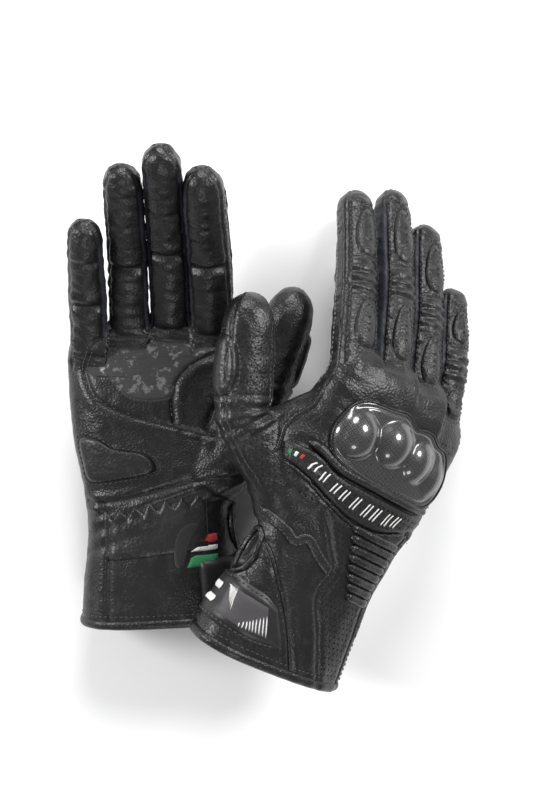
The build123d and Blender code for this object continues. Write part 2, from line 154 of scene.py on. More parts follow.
class Glove:
    """Where one glove of the frame lies and how its fingers are bent at rest."""

    def __init__(self, name):
        self.name = name
        flat = [(0, 0, 0)] + [FINGERS[f]["knuckle"] for f in NAMES] + [THUMB["root"]]
        keys = ["wrist"] + [f + "_knuckle" for f in NAMES] + ["thumb_swing"]
        here = np.array(flat, float)
        there = np.array([self.joint(key)["pos_m"] for key in keys]) / MM
        mid_here, mid_there = here.mean(0), there.mean(0)
        u, _, vt = np.linalg.svd((here - mid_here).T @ (there - mid_there))
        flip = np.diag([1, 1, np.sign(np.linalg.det(vt.T @ u.T))])
        self.rotation = vt.T @ flip @ u.T
        self.place = mid_there - self.rotation @ mid_here
        self.turns = {f: self.finger_turns(f) for f in NAMES}
        self.turns["thumb"] = self.thumb_turns()

    def joint(self, name):
        return JOINTS[f"{self.name}_{name}"]

    def inwards(self, vector):
        """A row direction in the glove's own axes."""
        return self.rotation.T @ np.array(vector, float)

    def finger_turns(self, name):
        """Rotations of a finger's base and tip segments at rest."""
        knuckle, middle = self.joint(name + "_knuckle"), self.joint(name + "_middle")
        across = self.inwards(knuckle["axis"])
        splay = math.degrees(math.atan2(-across[1], -across[0]))
        base = turn("z", splay) @ turn("x", knuckle["range_deg"][0])
        return base, base @ turn("x", middle["range_deg"][0])

    def thumb_turns(self):
        """Rotations of the thumb's base and tip segments at rest."""
        root, far = self.joint("thumb_swing"), self.joint("thumb_joint")
        along = self.inwards(np.array(far["pos_m"]) - np.array(root["pos_m"]))
        spread = math.degrees(math.atan2(-along[0], along[1]))
        drop = math.degrees(math.asin(-along[2] / np.linalg.norm(along)))
        base = turn("z", spread) @ turn("x", -drop)
        return base, base @ turn("z", far["range_deg"][0])

    def pose(self, points):
        """Flat-glove points in millimetres, bent to rest and placed in the row frame in metres."""
        points = np.atleast_2d(np.asarray(points, float))
        moved = points.copy()
        shares = finger_shares(points)
        for i, name in enumerate(NAMES):
            moved += shares[:, i:i + 1] * self.bend(DIGITS[name], points,
                                                    knuckle_weight(DIGITS[name], points))
        thumb = DIGITS["thumb"]
        moved += self.bend(thumb, points, thumb_weight(points))
        return (moved @ self.rotation.T + self.place) * MM

    def bend(self, digit, points, weight):
        """How far a digit's two bends move points."""
        base_turn, tip_turn = self.turns[digit.name]
        base = digit.root + (points - digit.root) @ digit.frame @ base_turn.T
        joint = digit.root + (digit.joint - digit.root) @ digit.frame @ base_turn.T
        tip = joint + (points - digit.joint) @ digit.frame @ tip_turn.T
        share = joint_weight(digit, points)[:, None]
        return weight[:, None] * (base * (1 - share) + tip * share - points)


def finger_shares(points):
    """How much each finger owns a point, by its distance across from the finger's axis."""
    across = np.stack([np.abs(DIGITS[n].local(points)[:, 0]) for n in NAMES], axis=1)
    nearest = across.min(1, keepdims=True)
    near = np.exp(-(across - nearest) / 0.8)
    return near / near.sum(1, keepdims=True) * (1 - smooth((nearest - 17) / 6))


def knuckle_weight(digit, points):
    return smooth((digit.local(points)[:, 1] + 10) / 22)


def joint_weight(digit, points):
    return smooth((digit.local(points)[:, 1] - digit.base + 9) / 18)


def thumb_weight(points):
    """How much the thumb's swing moves a point: grows along the thumb, fades away from its axis."""
    local = DIGITS["thumb"].local(points)
    aside = np.hypot(local[:, 0], local[:, 2])
    return smooth((local[:, 1] - 2) / 26) * (1 - smooth((aside - 17) / 10))


def oval_ring(middle, right, up, width, high, low, power, count):
    """Points of a flat oval whose upper and lower halves may differ in height."""
    angle = np.linspace(0, 2 * math.pi, count, endpoint=False)
    c, s = np.cos(angle), np.sin(angle)
    x = width * np.sign(c) * np.abs(c) ** (2 / power)
    z = np.sign(s) * np.abs(s) ** (2 / power)
    z = np.where(z > 0, z * high, z * low)
    return middle + x[:, None] * right + z[:, None] * up


def tube_faces(rings, count, start=0):
    """Quads between rings of points, and a fan over each end."""
    faces = []
    for i in range(rings - 1):
        for j in range(count):
            k = (j + 1) % count
            a, b = start + i * count, start + (i + 1) * count
            faces.append((a + j, a + k, b + k, b + j))
    faces.append(tuple(start + j for j in reversed(range(count))))
    faces.append(tuple(start + (rings - 1) * count + j for j in range(count)))
    return faces


def sectioned_solid(sections, count=64, power=2.5):
    """A closed solid through the hand's sections."""
    rings = [
        oval_ring(np.array([x, y, 0.0]), np.array([1.0, 0, 0]), np.array([0, 0, 1.0]), w, high, low, power,
                  count)
        for y, x, w, high, low in sections]
    return np.concatenate(rings), tube_faces(len(rings), count)


def digit_solid(digit, start, wide, tilt=0.0, count=40):
    """A closed round-ended solid along a digit, a little wider than it is thick."""
    r0, r1, r2 = digit.radii
    end = digit.length
    stations = []
    for s in np.linspace(start, end - 1.25 * r2, 16):
        r = np.interp(s, [0, digit.base, end], [r0, r1, r2])
        stations.append((s, r))
    for lift in np.linspace(0.2, 1.45, 6):
        stations.append((end - 1.25 * r2 + 1.25 * r2 * math.sin(lift), r2 * math.cos(lift)))
    across = digit.frame @ turn("y", tilt)
    rings = [
        oval_ring(digit.at(s), across[:, 0], across[:, 2], r * wide, r, r, 2.15, count) for s, r in stations]
    return np.concatenate(rings), tube_faces(len(rings), count)


def ball_solid(middle, radii, turned, count=24):
    """A closed stretched ball."""
    rings = []
    for lift in np.linspace(-1.4, 1.4, 12):
        ring = oval_ring(np.zeros(3), np.array([1.0, 0, 0]), np.array([0, 0, 1.0]),
                         math.cos(lift), math.cos(lift), math.cos(lift), 2, count)
        ring[:, 1] += math.sin(lift)
        rings.append(np.array(middle) + (ring * np.array(radii)) @ turned.T)
    return np.concatenate(rings), tube_faces(len(rings), count)


def new_mesh(name, points, faces):
    mesh = bpy.data.meshes.new(name)
    mesh.from_pydata(np.asarray(points).tolist(), [], [tuple(int(i) for i in f) for f in faces])
    mesh.update()
    return mesh


def quad_mesh(name, points, quads):
    """A mesh from an array of quads, quickly."""
    mesh = bpy.data.meshes.new(name)
    mesh.vertices.add(len(points))
    mesh.vertices.foreach_set("co", np.asarray(points, np.float32).ravel())
    mesh.loops.add(quads.size)
    mesh.loops.foreach_set("vertex_index", quads.astype(np.int32).ravel())
    mesh.polygons.add(len(quads))
    mesh.polygons.foreach_set("loop_start", np.arange(0, quads.size, 4, dtype=np.int32))
    mesh.update(calc_edges=True)
    return mesh


def mesh_points(mesh):
    points = np.zeros(len(mesh.vertices) * 3, np.float32)
    mesh.vertices.foreach_get("co", points)
    return points.reshape(-1, 3).astype(float)


def point_normals(points, quads):
    """Unit normals at the points of a quad mesh."""
    a, b, c, d = (points[quads[:, i]] for i in range(4))
    face = np.cross(c - a, d - b)
    normals = np.zeros_like(points)
    for i in range(4):
        for axis in range(3):
            normals[:, axis] += np.bincount(quads[:, i], face[:, axis], len(points))
    return unit(normals)


def relax(points, quads, rounds, amount=0.5):
    """Moves every point towards the mean of its neighbours."""
    edges = np.unique(np.sort(np.concatenate(
        [quads[:, [0, 1]], quads[:, [1, 2]], quads[:, [2, 3]], quads[:, [3, 0]]]), axis=1), axis=0)
    first, second = edges[:, 0], edges[:, 1]
    count = np.bincount(first, minlength=len(points)) + np.bincount(second, minlength=len(points))
    share = amount if np.ndim(amount) else np.full(len(points), amount)
    for _ in range(rounds):
        total = np.stack([
            np.bincount(first, points[second, k], len(points)) + np.bincount(second, points[first, k],
                    len(points))
            for k in range(3)], axis=1)
        points = points + share[:, None] * (total / count[:, None] - points)
    return points


class Skin:
    """The flat glove's leather surface, and where a ray from outside meets it."""

    def __init__(self, voxel):
        solids = [
            sectioned_solid(HAND_SECTIONS), sectioned_solid(CUFF_SECTIONS[::-1]),
            *(digit_solid(DIGITS[n], -14, 1.05, 32 if n == "index" else 0) for n in NAMES),
            digit_solid(DIGITS["thumb"], -8, 1.08),
            ball_solid((-29, 24, -5), (15, 30, 13.5), turn("z", 18)),
            ball_solid((-44, 52, -6), (8, 17, 8.5), turn("z", 12)),
        ]
        points, faces = [], []
        for verts, polygons in solids:
            start = sum(len(p) for p in points)
            points.append(verts)
            faces += [tuple(start + i for i in polygon) for polygon in polygons]
        mesh = new_mesh("skin_blank", np.concatenate(points), faces)
        blank = bpy.data.objects.new("skin_blank", mesh)
        bpy.context.scene.collection.objects.link(blank)
        remesh = blank.modifiers.new("remesh", "REMESH")
        remesh.mode = "VOXEL"
        remesh.voxel_size = voxel
        solid = bpy.data.meshes.new_from_object(blank.evaluated_get(bpy.context.evaluated_depsgraph_get()))
        bpy.data.objects.remove(blank)
        quads = np.zeros(len(solid.polygons) * 4, np.int32)
        solid.polygons.foreach_get("vertices", quads)
        self.quads = quads.reshape(-1, 4)
        rounds = int(round(14 / voxel))
        self.flat = relax(mesh_points(solid), self.quads, rounds)
        self.normals = point_normals(self.flat, self.quads)
        self.points = self.flat + self.normals * leather_relief(self.flat, self.normals)[:, None]
        self.tree = BVHTree.FromPolygons(self.points.tolist(), self.quads.tolist())
        self.shading = point_normals(self.points, self.quads)

    def cast(self, origins, directions):
        """Points and outward normals where rays meet the surface."""
        hits, normals = [], []
        for origin, direction in zip(np.atleast_2d(origins), np.atleast_2d(directions)):
            place, normal, _, _ = self.tree.ray_cast(Vector(origin), Vector(direction))
            if place is None:
                place, normal, _, _ = self.tree.find_nearest(Vector(origin))
            hits.append(place)
            normals.append(normal)
        return np.array(hits, float), np.array(normals, float)

    def back(self, xy):
        """Points on the back of the hand over plan places."""
        origins = np.column_stack([np.asarray(xy, float), np.full(len(xy), 60.0)])
        return self.cast(origins, np.tile([0, 0, -1.0], (len(xy), 1)))

    def palm(self, xy):
        """Points on the palm under plan places."""
        origins = np.column_stack([np.asarray(xy, float), np.full(len(xy), -60.0)])
        return self.cast(origins, np.tile([0, 0, 1.0], (len(xy), 1)))

    def round_hand(self, angle_y):
        """Points round the hand or cuff: angle from +X towards the back, and place along Y."""
        angle = np.radians([a for a, _ in angle_y])
        out = np.column_stack([np.cos(angle), np.zeros(len(angle)), np.sin(angle)])
        middle = np.column_stack([28 * np.cos(angle), [y for _, y in angle_y], np.zeros(len(angle))])
        return self.cast(middle + 60 * out, -out)

    def round_digit(self, name, along_angle):
        """Points round a digit: length along it, and angle from its back towards +X."""
        digit = DIGITS[name]
        angle = np.radians([a for _, a in along_angle])
        out = np.column_stack([np.sin(angle), np.zeros(len(angle)), np.cos(angle)]) @ digit.frame.T
        middle = np.array([digit.at(s) for s, _ in along_angle])
        reach = 11.0 + digit.radii[0] * 0.35
        return self.cast(middle + reach * out, -out)


# ---------------------------------------------------------------- the glove's lines and relief

# Seams over the back of the hand and cuff, in plan.
BACK_SEAMS = {
    "band_low": ((-45, 35.5), (-33.8, 30.8), (-20.6, 25.7), (-5.4, 21.9), (10.5, 21.8), (27.8, 27.1),
                 (38, 31)),
    "band_high": ((-46, 46.5), (-36.8, 46.1), (-23.5, 41.7), (-1.4, 40.9), (31.1, 40.2), (41, 42.5)),
    "wrist_side": ((-36, -4), (-30, -11), (-25.1, -17.3), (-12.8, -32.1), (4.3, -57)),
    "wrist_mid": ((-21, 21.5), (-14, 14), (-8.8, 7.8), (-0.8, -2.3), (-2.6, -17.1), (7.9, -33.9), (22, -57)),
    "outer": ((33, 28), (30, 12), (29, -10), (33, -32), (38, -57)),
}
PALM_SEAMS = {
    "outer": ((31, 92), (32, 73.5), (29.1, 61.5), (22.5, 54.7), (8.9, 48.8), (-6.8, 44.2), (-19.6, 40.2),
              (-34, 36)),
    "thenar": ((-11.9, 45.5), (-11.8, 56), (-14.2, 65.9), (-22, 73.6), (-34, 79)),
    "wrist": ((35, 6), (25.8, 5.2), (0, 10), (-25.6, 15), (-36, 16)),
    "cuff": ((27.8, 4.8), (24.4, -7), (26.5, -31.5), (28, -57)),
}
GUARD_OUTLINE = (
    (-37.0, 58), (-35.8, 66.5), (-31.5, 74.9), (-22.9, 78.2), (-13, 79.5), (-3.7, 80.6), (4.2, 76.6),
    (10, 77.6),
    (16.4, 77.0), (22.2, 73.4), (28.4, 72.2), (33.9, 66.5), (36.9, 57.5), (35.2, 48.5), (30.1, 43.9),
    (17.6, 43.4), (2, 43.2), (-11.7, 43.6), (-25.8, 45.7), (-33.6, 49.6))
DOMES = (((-25.5, 61.0), (12.0, 12.5), 8.6), ((-4.5, 64.8), (11.5, 12.0), 7.6),
         ((13.8, 62.2), (10.0, 11.2), 6.2), ((28.0, 58.2), (8.2, 9.8), 4.6))
HEEL_PAD = ((37.1, 39.0), (28.1, 38.8), (19.4, 33.4), (4.2, 30.4), (-1.2, 25.0), (-0.4, 20.2), (14, 17.6),
            (29.6, 15.8),
            (34.2, 18.0), (35.9, 26.5))
GRIP_PANEL = ((28, 78), (28.5, 70.4), (21.8, 69.6), (8.5, 58.2), (-11, 57.8), (-14, 66), (-21, 73.5),
              (-24, 78))
GRIP_PRINT = ((28.7, 70.4), (21.8, 70.2), (8.5, 58.2), (-11.4, 57.5), (-14, 66), (-22, 73.6), (-32, 84),
              (-31, 93),
              (-18, 97), (0, 98), (16, 95), (29, 86))
ZIGZAG = ((27, 2.0), (22.5, -3.6), (19, 2.2), (14.5, -2.4), (11, 3.6), (6.5, -0.8), (3, 4.8), (-1.5, 0.6),
          (-5, 6.0),
          (-9.5, 1.8), (-13, 7.0), (-17.5, 3.0), (-21, 8.0), (-26, 4.4))
SLIT = ((-10.5, 7.2), 9.5)      # along Y, half height towards the back, half length
# The strap: (angle round the cuff, place along Y)
STRAP_TOP = ((209, -25.5), (190, -25.2), (160, -24.8), (136, -25.4), (124, -26.4), (114, -30))
# The same, along its lower edge
STRAP_LOW = ((209, -49.5), (190, -49.2), (150, -48.9), (122, -49.2), (104, -47.6), (99, -45.6))
# Fuzzy patch beside the strap root
LOOP_CRESCENT = ((-12, -9), (-17, -6), (-22, -6.5), (-18.5, -13), (-15, -21), (-12, -29), (-8.5, -28),
                 (-8.5, -16))
# Tape across the wrist on the back
WRIST_TAPE = ((-43, 8.0), (-32.7, 5.6), (-26.2, 2.6), (-20.9, 6.3), (-12.4, 1), (-1.5, -4.2))
# Focal length in millimetres on a 36 mm wide sensor
CAMERA_LENS = 77.07
# Area lights: name, place in metres, size in metres, power in watts
LIGHTS = (("left_light", (-0.8, 0.2, 0.62), 0.36, 7.2), ("right_light", (0.75, 0.3, 0.66), 0.34, 7.2),
          ("top_light", (0.05, 0.85, 0.62), 0.42, 7.0), ("front_light", (0.1, -0.85, 0.8), 0.3, 2.4))


def smooth_line(points, step=1.0, closed=False):
    """A line through points with soft corners, resampled at an even step."""
    points = np.asarray(points, float)
    if closed:
        ring = np.concatenate([points[-1:], points, points[:2]])
    else:
        ring = np.concatenate([2 * points[:1] - points[1:2], points, 2 * points[-1:] - points[-2:-1]])
    fine = []
    t = np.linspace(0, 1, 12, endpoint=False)[:, None]
    for a, b, c, d in zip(ring, ring[1:], ring[2:], ring[3:]):
        fine.append(0.5 * (2 * b + (c - a) * t + (2 * a - 5 * b + 4 * c - d) * t ** 2
                + (3 * b - a - 3 * c + d) * t ** 3))
    fine = np.concatenate(fine + [ring[-2:-1]])
    along = np.concatenate([[0], np.cumsum(np.linalg.norm(np.diff(fine, axis=0), axis=1))])
    count = max(3, int(round(along[-1] / step)) + 1)
    places = np.linspace(0, along[-1], count)
    out = np.stack([np.interp(places, along, fine[:, k]) for k in range(fine.shape[1])], axis=1)
    return out[:-1] if closed else out


def line_distance(points, line):
    """Distance from plan points to a line given by close-set points."""
    best = np.full(len(points), 1e9)
    for a, b in zip(line[:-1], line[1:]):
        step = b - a
        t = np.clip(((points - a) @ step) / max(step @ step, 1e-9), 0, 1)
        best = np.minimum(best, np.linalg.norm(points - a - t[:, None] * step, axis=1))
    return best


def inside(points, outline):
    """1 within a closed plan outline, 0 outside, with a soft edge."""
    hit = np.zeros(len(points), bool)
    for a, b in zip(outline, np.roll(outline, -1, axis=0)):
        spans = (a[1] > points[:, 1]) != (b[1] > points[:, 1])
        cross = a[0] + (points[:, 1] - a[1]) * (b[0] - a[0]) / (b[1] - a[1] + 1e-12)
        hit ^= spans & (points[:, 0] < cross)
    distance = line_distance(points, np.concatenate([outline, outline[:1]]))
    return smooth(0.5 + np.where(hit, distance, -distance) / 1.6)


def ripple(points, size, seed):
    """A seeded, irregular wave over space with crests about one size apart."""
    pick = np.random.RandomState(seed)
    total = np.zeros(len(points))
    for _ in range(14):
        way = unit(pick.normal(size=3)) * 2 * math.pi / (size * pick.uniform(0.7, 1.6))
        total += np.sin(points @ way + pick.uniform(0, 6.28))
    return total / 3.8


def digit_round(digit, points):
    """Length along a digit, angle from its back towards +X in degrees, and distance from its axis."""
    local = digit.local(points)
    return local[:, 1], np.degrees(np.arctan2(local[:, 0], local[:, 2])), np.hypot(local[:, 0], local[:, 2])


def finger_zone(points):
    """For each finger, 1 on its skin past the knuckle and 0 elsewhere."""
    shares = finger_shares(points)
    zones = {}
    for i, name in enumerate(NAMES):
        s, _, out = digit_round(DIGITS[name], points)
        zones[name] = (shares[:, i] > 0.5) * smooth((s + 4) / 6) * (out < 16)
    return zones


def leather_relief(points, normals):
    """Height of the leather over the plain form: seams, puffs beside them, folds and wrinkles."""
    plan = points[:, :2]
    back, palm = smooth(normals[:, 2] / 0.45), smooth(-normals[:, 2] / 0.45)
    zones = finger_zone(points)
    on_finger = sum(zones.values())
    thumb = DIGITS["thumb"]
    ts, ta, tr = digit_round(thumb, points)
    on_thumb = smooth((ts - 6) / 12) * (1 - smooth((tr - 18) / 6))
    hand = (1 - np.clip(on_finger, 0, 1)) * (1 - on_thumb)
    height = 0.20 * ripple(points, 19, 3) + 0.09 * ripple(points, 8, 5) * (1 + on_thumb)
    for name, line in BACK_SEAMS.items():
        away = line_distance(plan, smooth_line(line, 3))
        height += hand * back * (0.45 * bump(away - 3.4, 2.4) - 0.75 * bump(away, 1.1))
    for name, line in PALM_SEAMS.items():
        away = line_distance(plan, smooth_line(line, 3))
        height += hand * palm * (0.5 * bump(away - 3.4, 2.4) - 0.8 * bump(away, 1.1))
    side = smooth((-points[:, 0] - 24) / 8) * hand
    height += 0.26 * side * ripple(points * np.array([0.5, 1.5, 0.5]), 10, 9)
    lean = points[:, 1] + 0.35 * points[:, 0]
    for y, depth, width in ((1.5, 1.1, 2.6), (-7.5, 0.8, 2.2), (9.5, 0.7, 2.4)):
        height -= hand * palm * depth * bump(lean - y, width)
    for x, y, turned, depth in ((-20, 88, 14, 1.2), (4, 90, -4, 1.3), (24, 84, -16, 1.1)):
        across = (plan - (x, y)) @ turn("z", turned)[:2, :2]
        height -= palm * (1 - on_finger) * depth * bump(across[:, 1],
                                                        1.7) * (1 - smooth((abs(across[:, 0]) - 9) / 5))
    for name, zone in zones.items():
        digit = DIGITS[name]
        s, angle, _ = digit_round(digit, points)
        upper, lower = 1 - smooth((abs(angle) - 46) / 14), smooth((abs(angle) - 118) / 22)
        seam = np.minimum(abs(abs(angle) - 58), abs(abs(angle) - 122)) * digit.radii[1] / 57.3
        height += zone * (0.20 * bump(seam - 2.2, 1.5) - 0.55 * bump(seam, 0.8))
        bend = s - digit.base
        height += zone * upper * 0.62 * np.cos(2 * math.pi * bend / 4.7) * (1 - smooth((abs(bend)
                - 6.5) / 2.5))
        height -= zone * upper * 0.7 * (bump(abs(bend) - 9.8, 0.8))
        height += zone * lower * (0.7 * bump(abs(bend) - 5, 3.4) - 1.5 * bump(bend, 1.9))
        height -= zone * lower * 1.2 * bump(s - 9, 1.7)
        height -= zone * lower * 0.8 * bump(s - digit.base - 26, 1.3)
        height += zone * 0.20 * ripple(points * np.array([0.6, 1.4, 0.6]), 6.5, 21 + len(name))
        tip_line = abs(s - (digit.length - 13) - abs(angle) * 0.06)
        height -= zone * upper * 0.5 * bump(tip_line, 0.8)
    fold = ts - thumb.base
    inner = smooth((ta - 40) / 30) * (1 - smooth((ta - 140) / 30))
    height += on_thumb * inner * (0.7 * bump(abs(fold) - 6, 4) - 1.4 * bump(fold, 2.3))
    height += on_thumb * (1 - inner) * 0.45 * np.cos(2 * math.pi * fold / 6.4) * (1
            - smooth((abs(fold) - 8) / 5))
    thumb_seam = np.minimum(abs(ta - 52), abs(ta + 58)) * thumb.radii[1] / 57.3
    height += on_thumb * (0.3 * bump(thumb_seam - 2.6, 1.8) - 0.75 * bump(thumb_seam, 0.9))
    wall = smooth((-points[:, 0] - 28) / 5)
    edge = np.hypot((points[:, 1] + 12) / SLIT[1], (points[:, 2] - 0.0) / 4.2)
    height += wall * (0.9 * bump(edge - 1.25, 0.28) - 3.0 * smooth((1.05 - edge) / 0.5))
    return height


def skin_masks(points, normals):
    """Where the leather is folded in, as a mask for painted shade in the creases, where it is knitted fabric,
    and where it is suede.
    """
    relief = leather_relief(points, normals)
    crease = smooth((-relief - 0.15) / 0.9)
    zones = finger_zone(points)
    fabric = np.zeros(len(points))
    for name, zone in zones.items():
        s, angle, _ = digit_round(DIGITS[name], points)
        between = (angle > 0 if name == "index" else angle < 0 if name == "little" else True)
        fabric = np.maximum(fabric,
                            zone * between * smooth((abs(angle) - 57) / 3) * (1 - smooth((abs(angle)
                                    - 119) / 3))
                            * (1 - smooth((s - DIGITS[name].length + 13) / 2)))
    palm = smooth(-normals[:, 2] / 0.3) * (1 - np.clip(sum(zones.values()), 0, 1))
    grip = palm * inside(points[:, :2], smooth_line(GRIP_PRINT, 3, True))
    return crease, fabric, grip


# ---------------------------------------------------------------- placing pieces

class Builder:
    """Makes pieces on the flat glove and sets a copy of each on both gloves."""

    def __init__(self, voxel):
        self.skin = Skin(voxel)
        self.gloves = [Glove(name) for name in GLOVES]

    def region_bodies(self, region):
        """A region's bodies and the flat places between which it bends."""
        if region == "wrist":
            return "hand", "cuff", (0, 6, 0), (0, -6, 0)
        name, part = region.rsplit("_", 1)
        digit = DIGITS[name]
        if name == "thumb":
            spans = {"low": ("hand", "thumb_base", 2, 28), "high": ("thumb_base", "thumb_tip", 34, 54)}
        else:
            spans = {"low": ("hand", name + "_base", -10, 12),
                     "high": (name + "_base", name + "_tip", digit.base - 9, digit.base + 9)}
        first, second, start, end = spans[part]
        return first, second, digit.at(start), digit.at(end)

    def hold(self, piece, glove, region):
        """Parents a piece to its body's empty where its region is a single body; a piece in a region that
        spans a bend is left fixed where it lies.
        """
        if region in ("hand", "cuff", "strap") or region.endswith(("_base", "_tip")):
            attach(piece, f"{glove.name}_{region}")
            return
        first, second, start, end = self.region_bodies(region)
        tuple(glove.pose(start)[0])
        tuple(glove.pose(end)[0])
        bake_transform(piece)

    def place(self, name, points, faces, material, region, slot, levels=0, masks=None):
        """Adds a piece given on the flat glove to each glove, bent and placed, and returns them."""
        made = []
        for glove in self.gloves:
            mesh = new_mesh(f"{glove.name}_{name}", glove.pose(points), faces)
            made.append(self.finish(mesh, glove, material, region, slot, levels, masks))
        return made

    def finish(self, mesh, glove, material, region, slot, levels=0, masks=None):
        """Turns a placed mesh into a piece with its finish, parented to its body where its region is a single
        body.
        """
        piece = bpy.data.objects.new(mesh.name, mesh)
        bpy.context.scene.collection.objects.link(piece)
        for item in material if isinstance(material, (list, tuple)) else [material]:
            mesh.materials.append(item)
        for key, values in (masks or {}).items():
            layer = mesh.attributes.new(key, "FLOAT", "POINT")
            layer.data.foreach_set("value", np.asarray(values, np.float32))
        mesh.polygons.foreach_set("use_smooth", np.ones(len(mesh.polygons), bool))
        if levels:
            soft = piece.modifiers.new("soft", "SUBSURF")
            soft.levels = soft.render_levels = levels
        self.hold(piece, glove, region)
        return piece


def pillow(surface, outline, height, middle=None, power=2.4, rings=7, sunk=0.7):
    """A crowned closed piece over an outline on a surface, given by its plan function."""
    outline = np.asarray(outline, float)
    middle = outline.mean(0) if middle is None else np.asarray(middle, float)
    points, levels = [], np.linspace(1, 0, rings, endpoint=False)
    for t in levels:
        place, normal = surface(middle + (outline - middle) * t)
        rise = height * (1 - t ** power) ** (1 / power) if t < 1 else -0.15
        points.append(place + normal * rise)
    place, normal = surface(middle[None])
    points.append(place + normal * height)
    base, below = surface(outline)
    points.append(base - below * sunk)
    place, normal = surface(middle[None])
    points.append(place - normal * sunk)
    count = len(outline)
    faces = []
    for i in range(rings - 1):
        faces += [(i * count + j, i * count + (j + 1) % count, (i + 1) * count + (j + 1) % count,
                   (i + 1) * count + j)
                  for j in range(count)]
    top, last = rings * count, (rings - 1) * count
    faces += [(last + j, last + (j + 1) % count, top) for j in range(count)]
    under = top + 1
    faces += [((j + 1) % count, j, under + j, under + (j + 1) % count) for j in range(count)]
    faces += [(under + (j + 1) % count, under + j, under + count) for j in range(count)]
    points = np.concatenate(points)
    area = np.cross(outline, np.roll(outline, -1, axis=0)).sum()
    return points, faces if area > 0 else [face[::-1] for face in faces]


def strip(places, normals, profile, taper=0, closed=False):
    """A closed bar swept along a path on a surface; its profile is points of (across, up)."""
    places, normals = np.asarray(places, float), unit(np.asarray(normals, float))
    if closed:
        along = np.roll(places, -1, axis=0) - np.roll(places, 1, axis=0)
    else:
        along = np.gradient(places, axis=0)
    side = unit(np.cross(unit(along), normals))
    profile = np.asarray(profile, float)
    size = np.ones(len(places))
    if taper:
        ends = np.minimum(np.arange(len(places)), np.arange(len(places))[::-1])
        size = np.sqrt(np.clip(1 - (1 - np.clip(ends / taper, 0, 1)) ** 2, 0.02, 1))
    points = (places[:, None] + side[:, None] * (profile[None, :, :1] * size[:, None, None])
              + normals[:, None] * (profile[None, :, 1:] * size[:, None, None]))
    count, rows = len(profile), len(places)
    faces = []
    for i in range(rows if closed else rows - 1):
        k = (i + 1) % rows
        faces += [(i * count + j, k * count + j, k * count + (j + 1) % count, i * count + (j + 1) % count)
                  for j in range(count)]
    if not closed:
        faces += [tuple(range(count)), tuple((rows - 1) * count + j for j in reversed(range(count)))]
    around = np.cross(profile, np.roll(profile, -1, axis=0)).sum()
    points = points.reshape(-1, 3)
    return points, faces if around < 0 else [face[::-1] for face in faces]


def half_round(width, height, sunk=0.4, count=8):
    """A profile that is round on top and a little under the surface below."""
    angle = np.linspace(0, math.pi, count)
    top = np.column_stack([width / 2 * np.cos(angle), height * np.sin(angle)])
    return np.concatenate([top, [(-width / 2, -sunk), (width / 2, -sunk)]])


# ---------------------------------------------------------------- materials

class Value:
    """A shader socket that can be used in sums."""

    def __init__(self, finish, socket):
        self.finish, self.socket = finish, socket

    def maths(self, operation, other=None, swapped=False):
        pair = [self] if other is None else ([other, self] if swapped else [self, other])
        return self.finish.node("ShaderNodeMath", {"operation": operation}, dict(enumerate(pair)))

    def __add__(self, other):
        return self.maths("ADD", other)

    def __sub__(self, other):
        return self.maths("SUBTRACT", other)

    def __mul__(self, other):
        return self.maths("MULTIPLY", other)

    def __rsub__(self, other):
        return self.maths("SUBTRACT", other, True)

    def __abs__(self):
        return self.maths("ABSOLUTE")

    __radd__, __rmul__ = __add__, __mul__

    def above(self, edge, width):
        """0 below an edge and 1 over it, with a soft step of a width."""
        return self.finish.node(
            "ShaderNodeMapRange", {"interpolation_type": "SMOOTHSTEP"},
            {"Value": self, "From Min": edge - width / 2, "From Max": edge + width / 2})


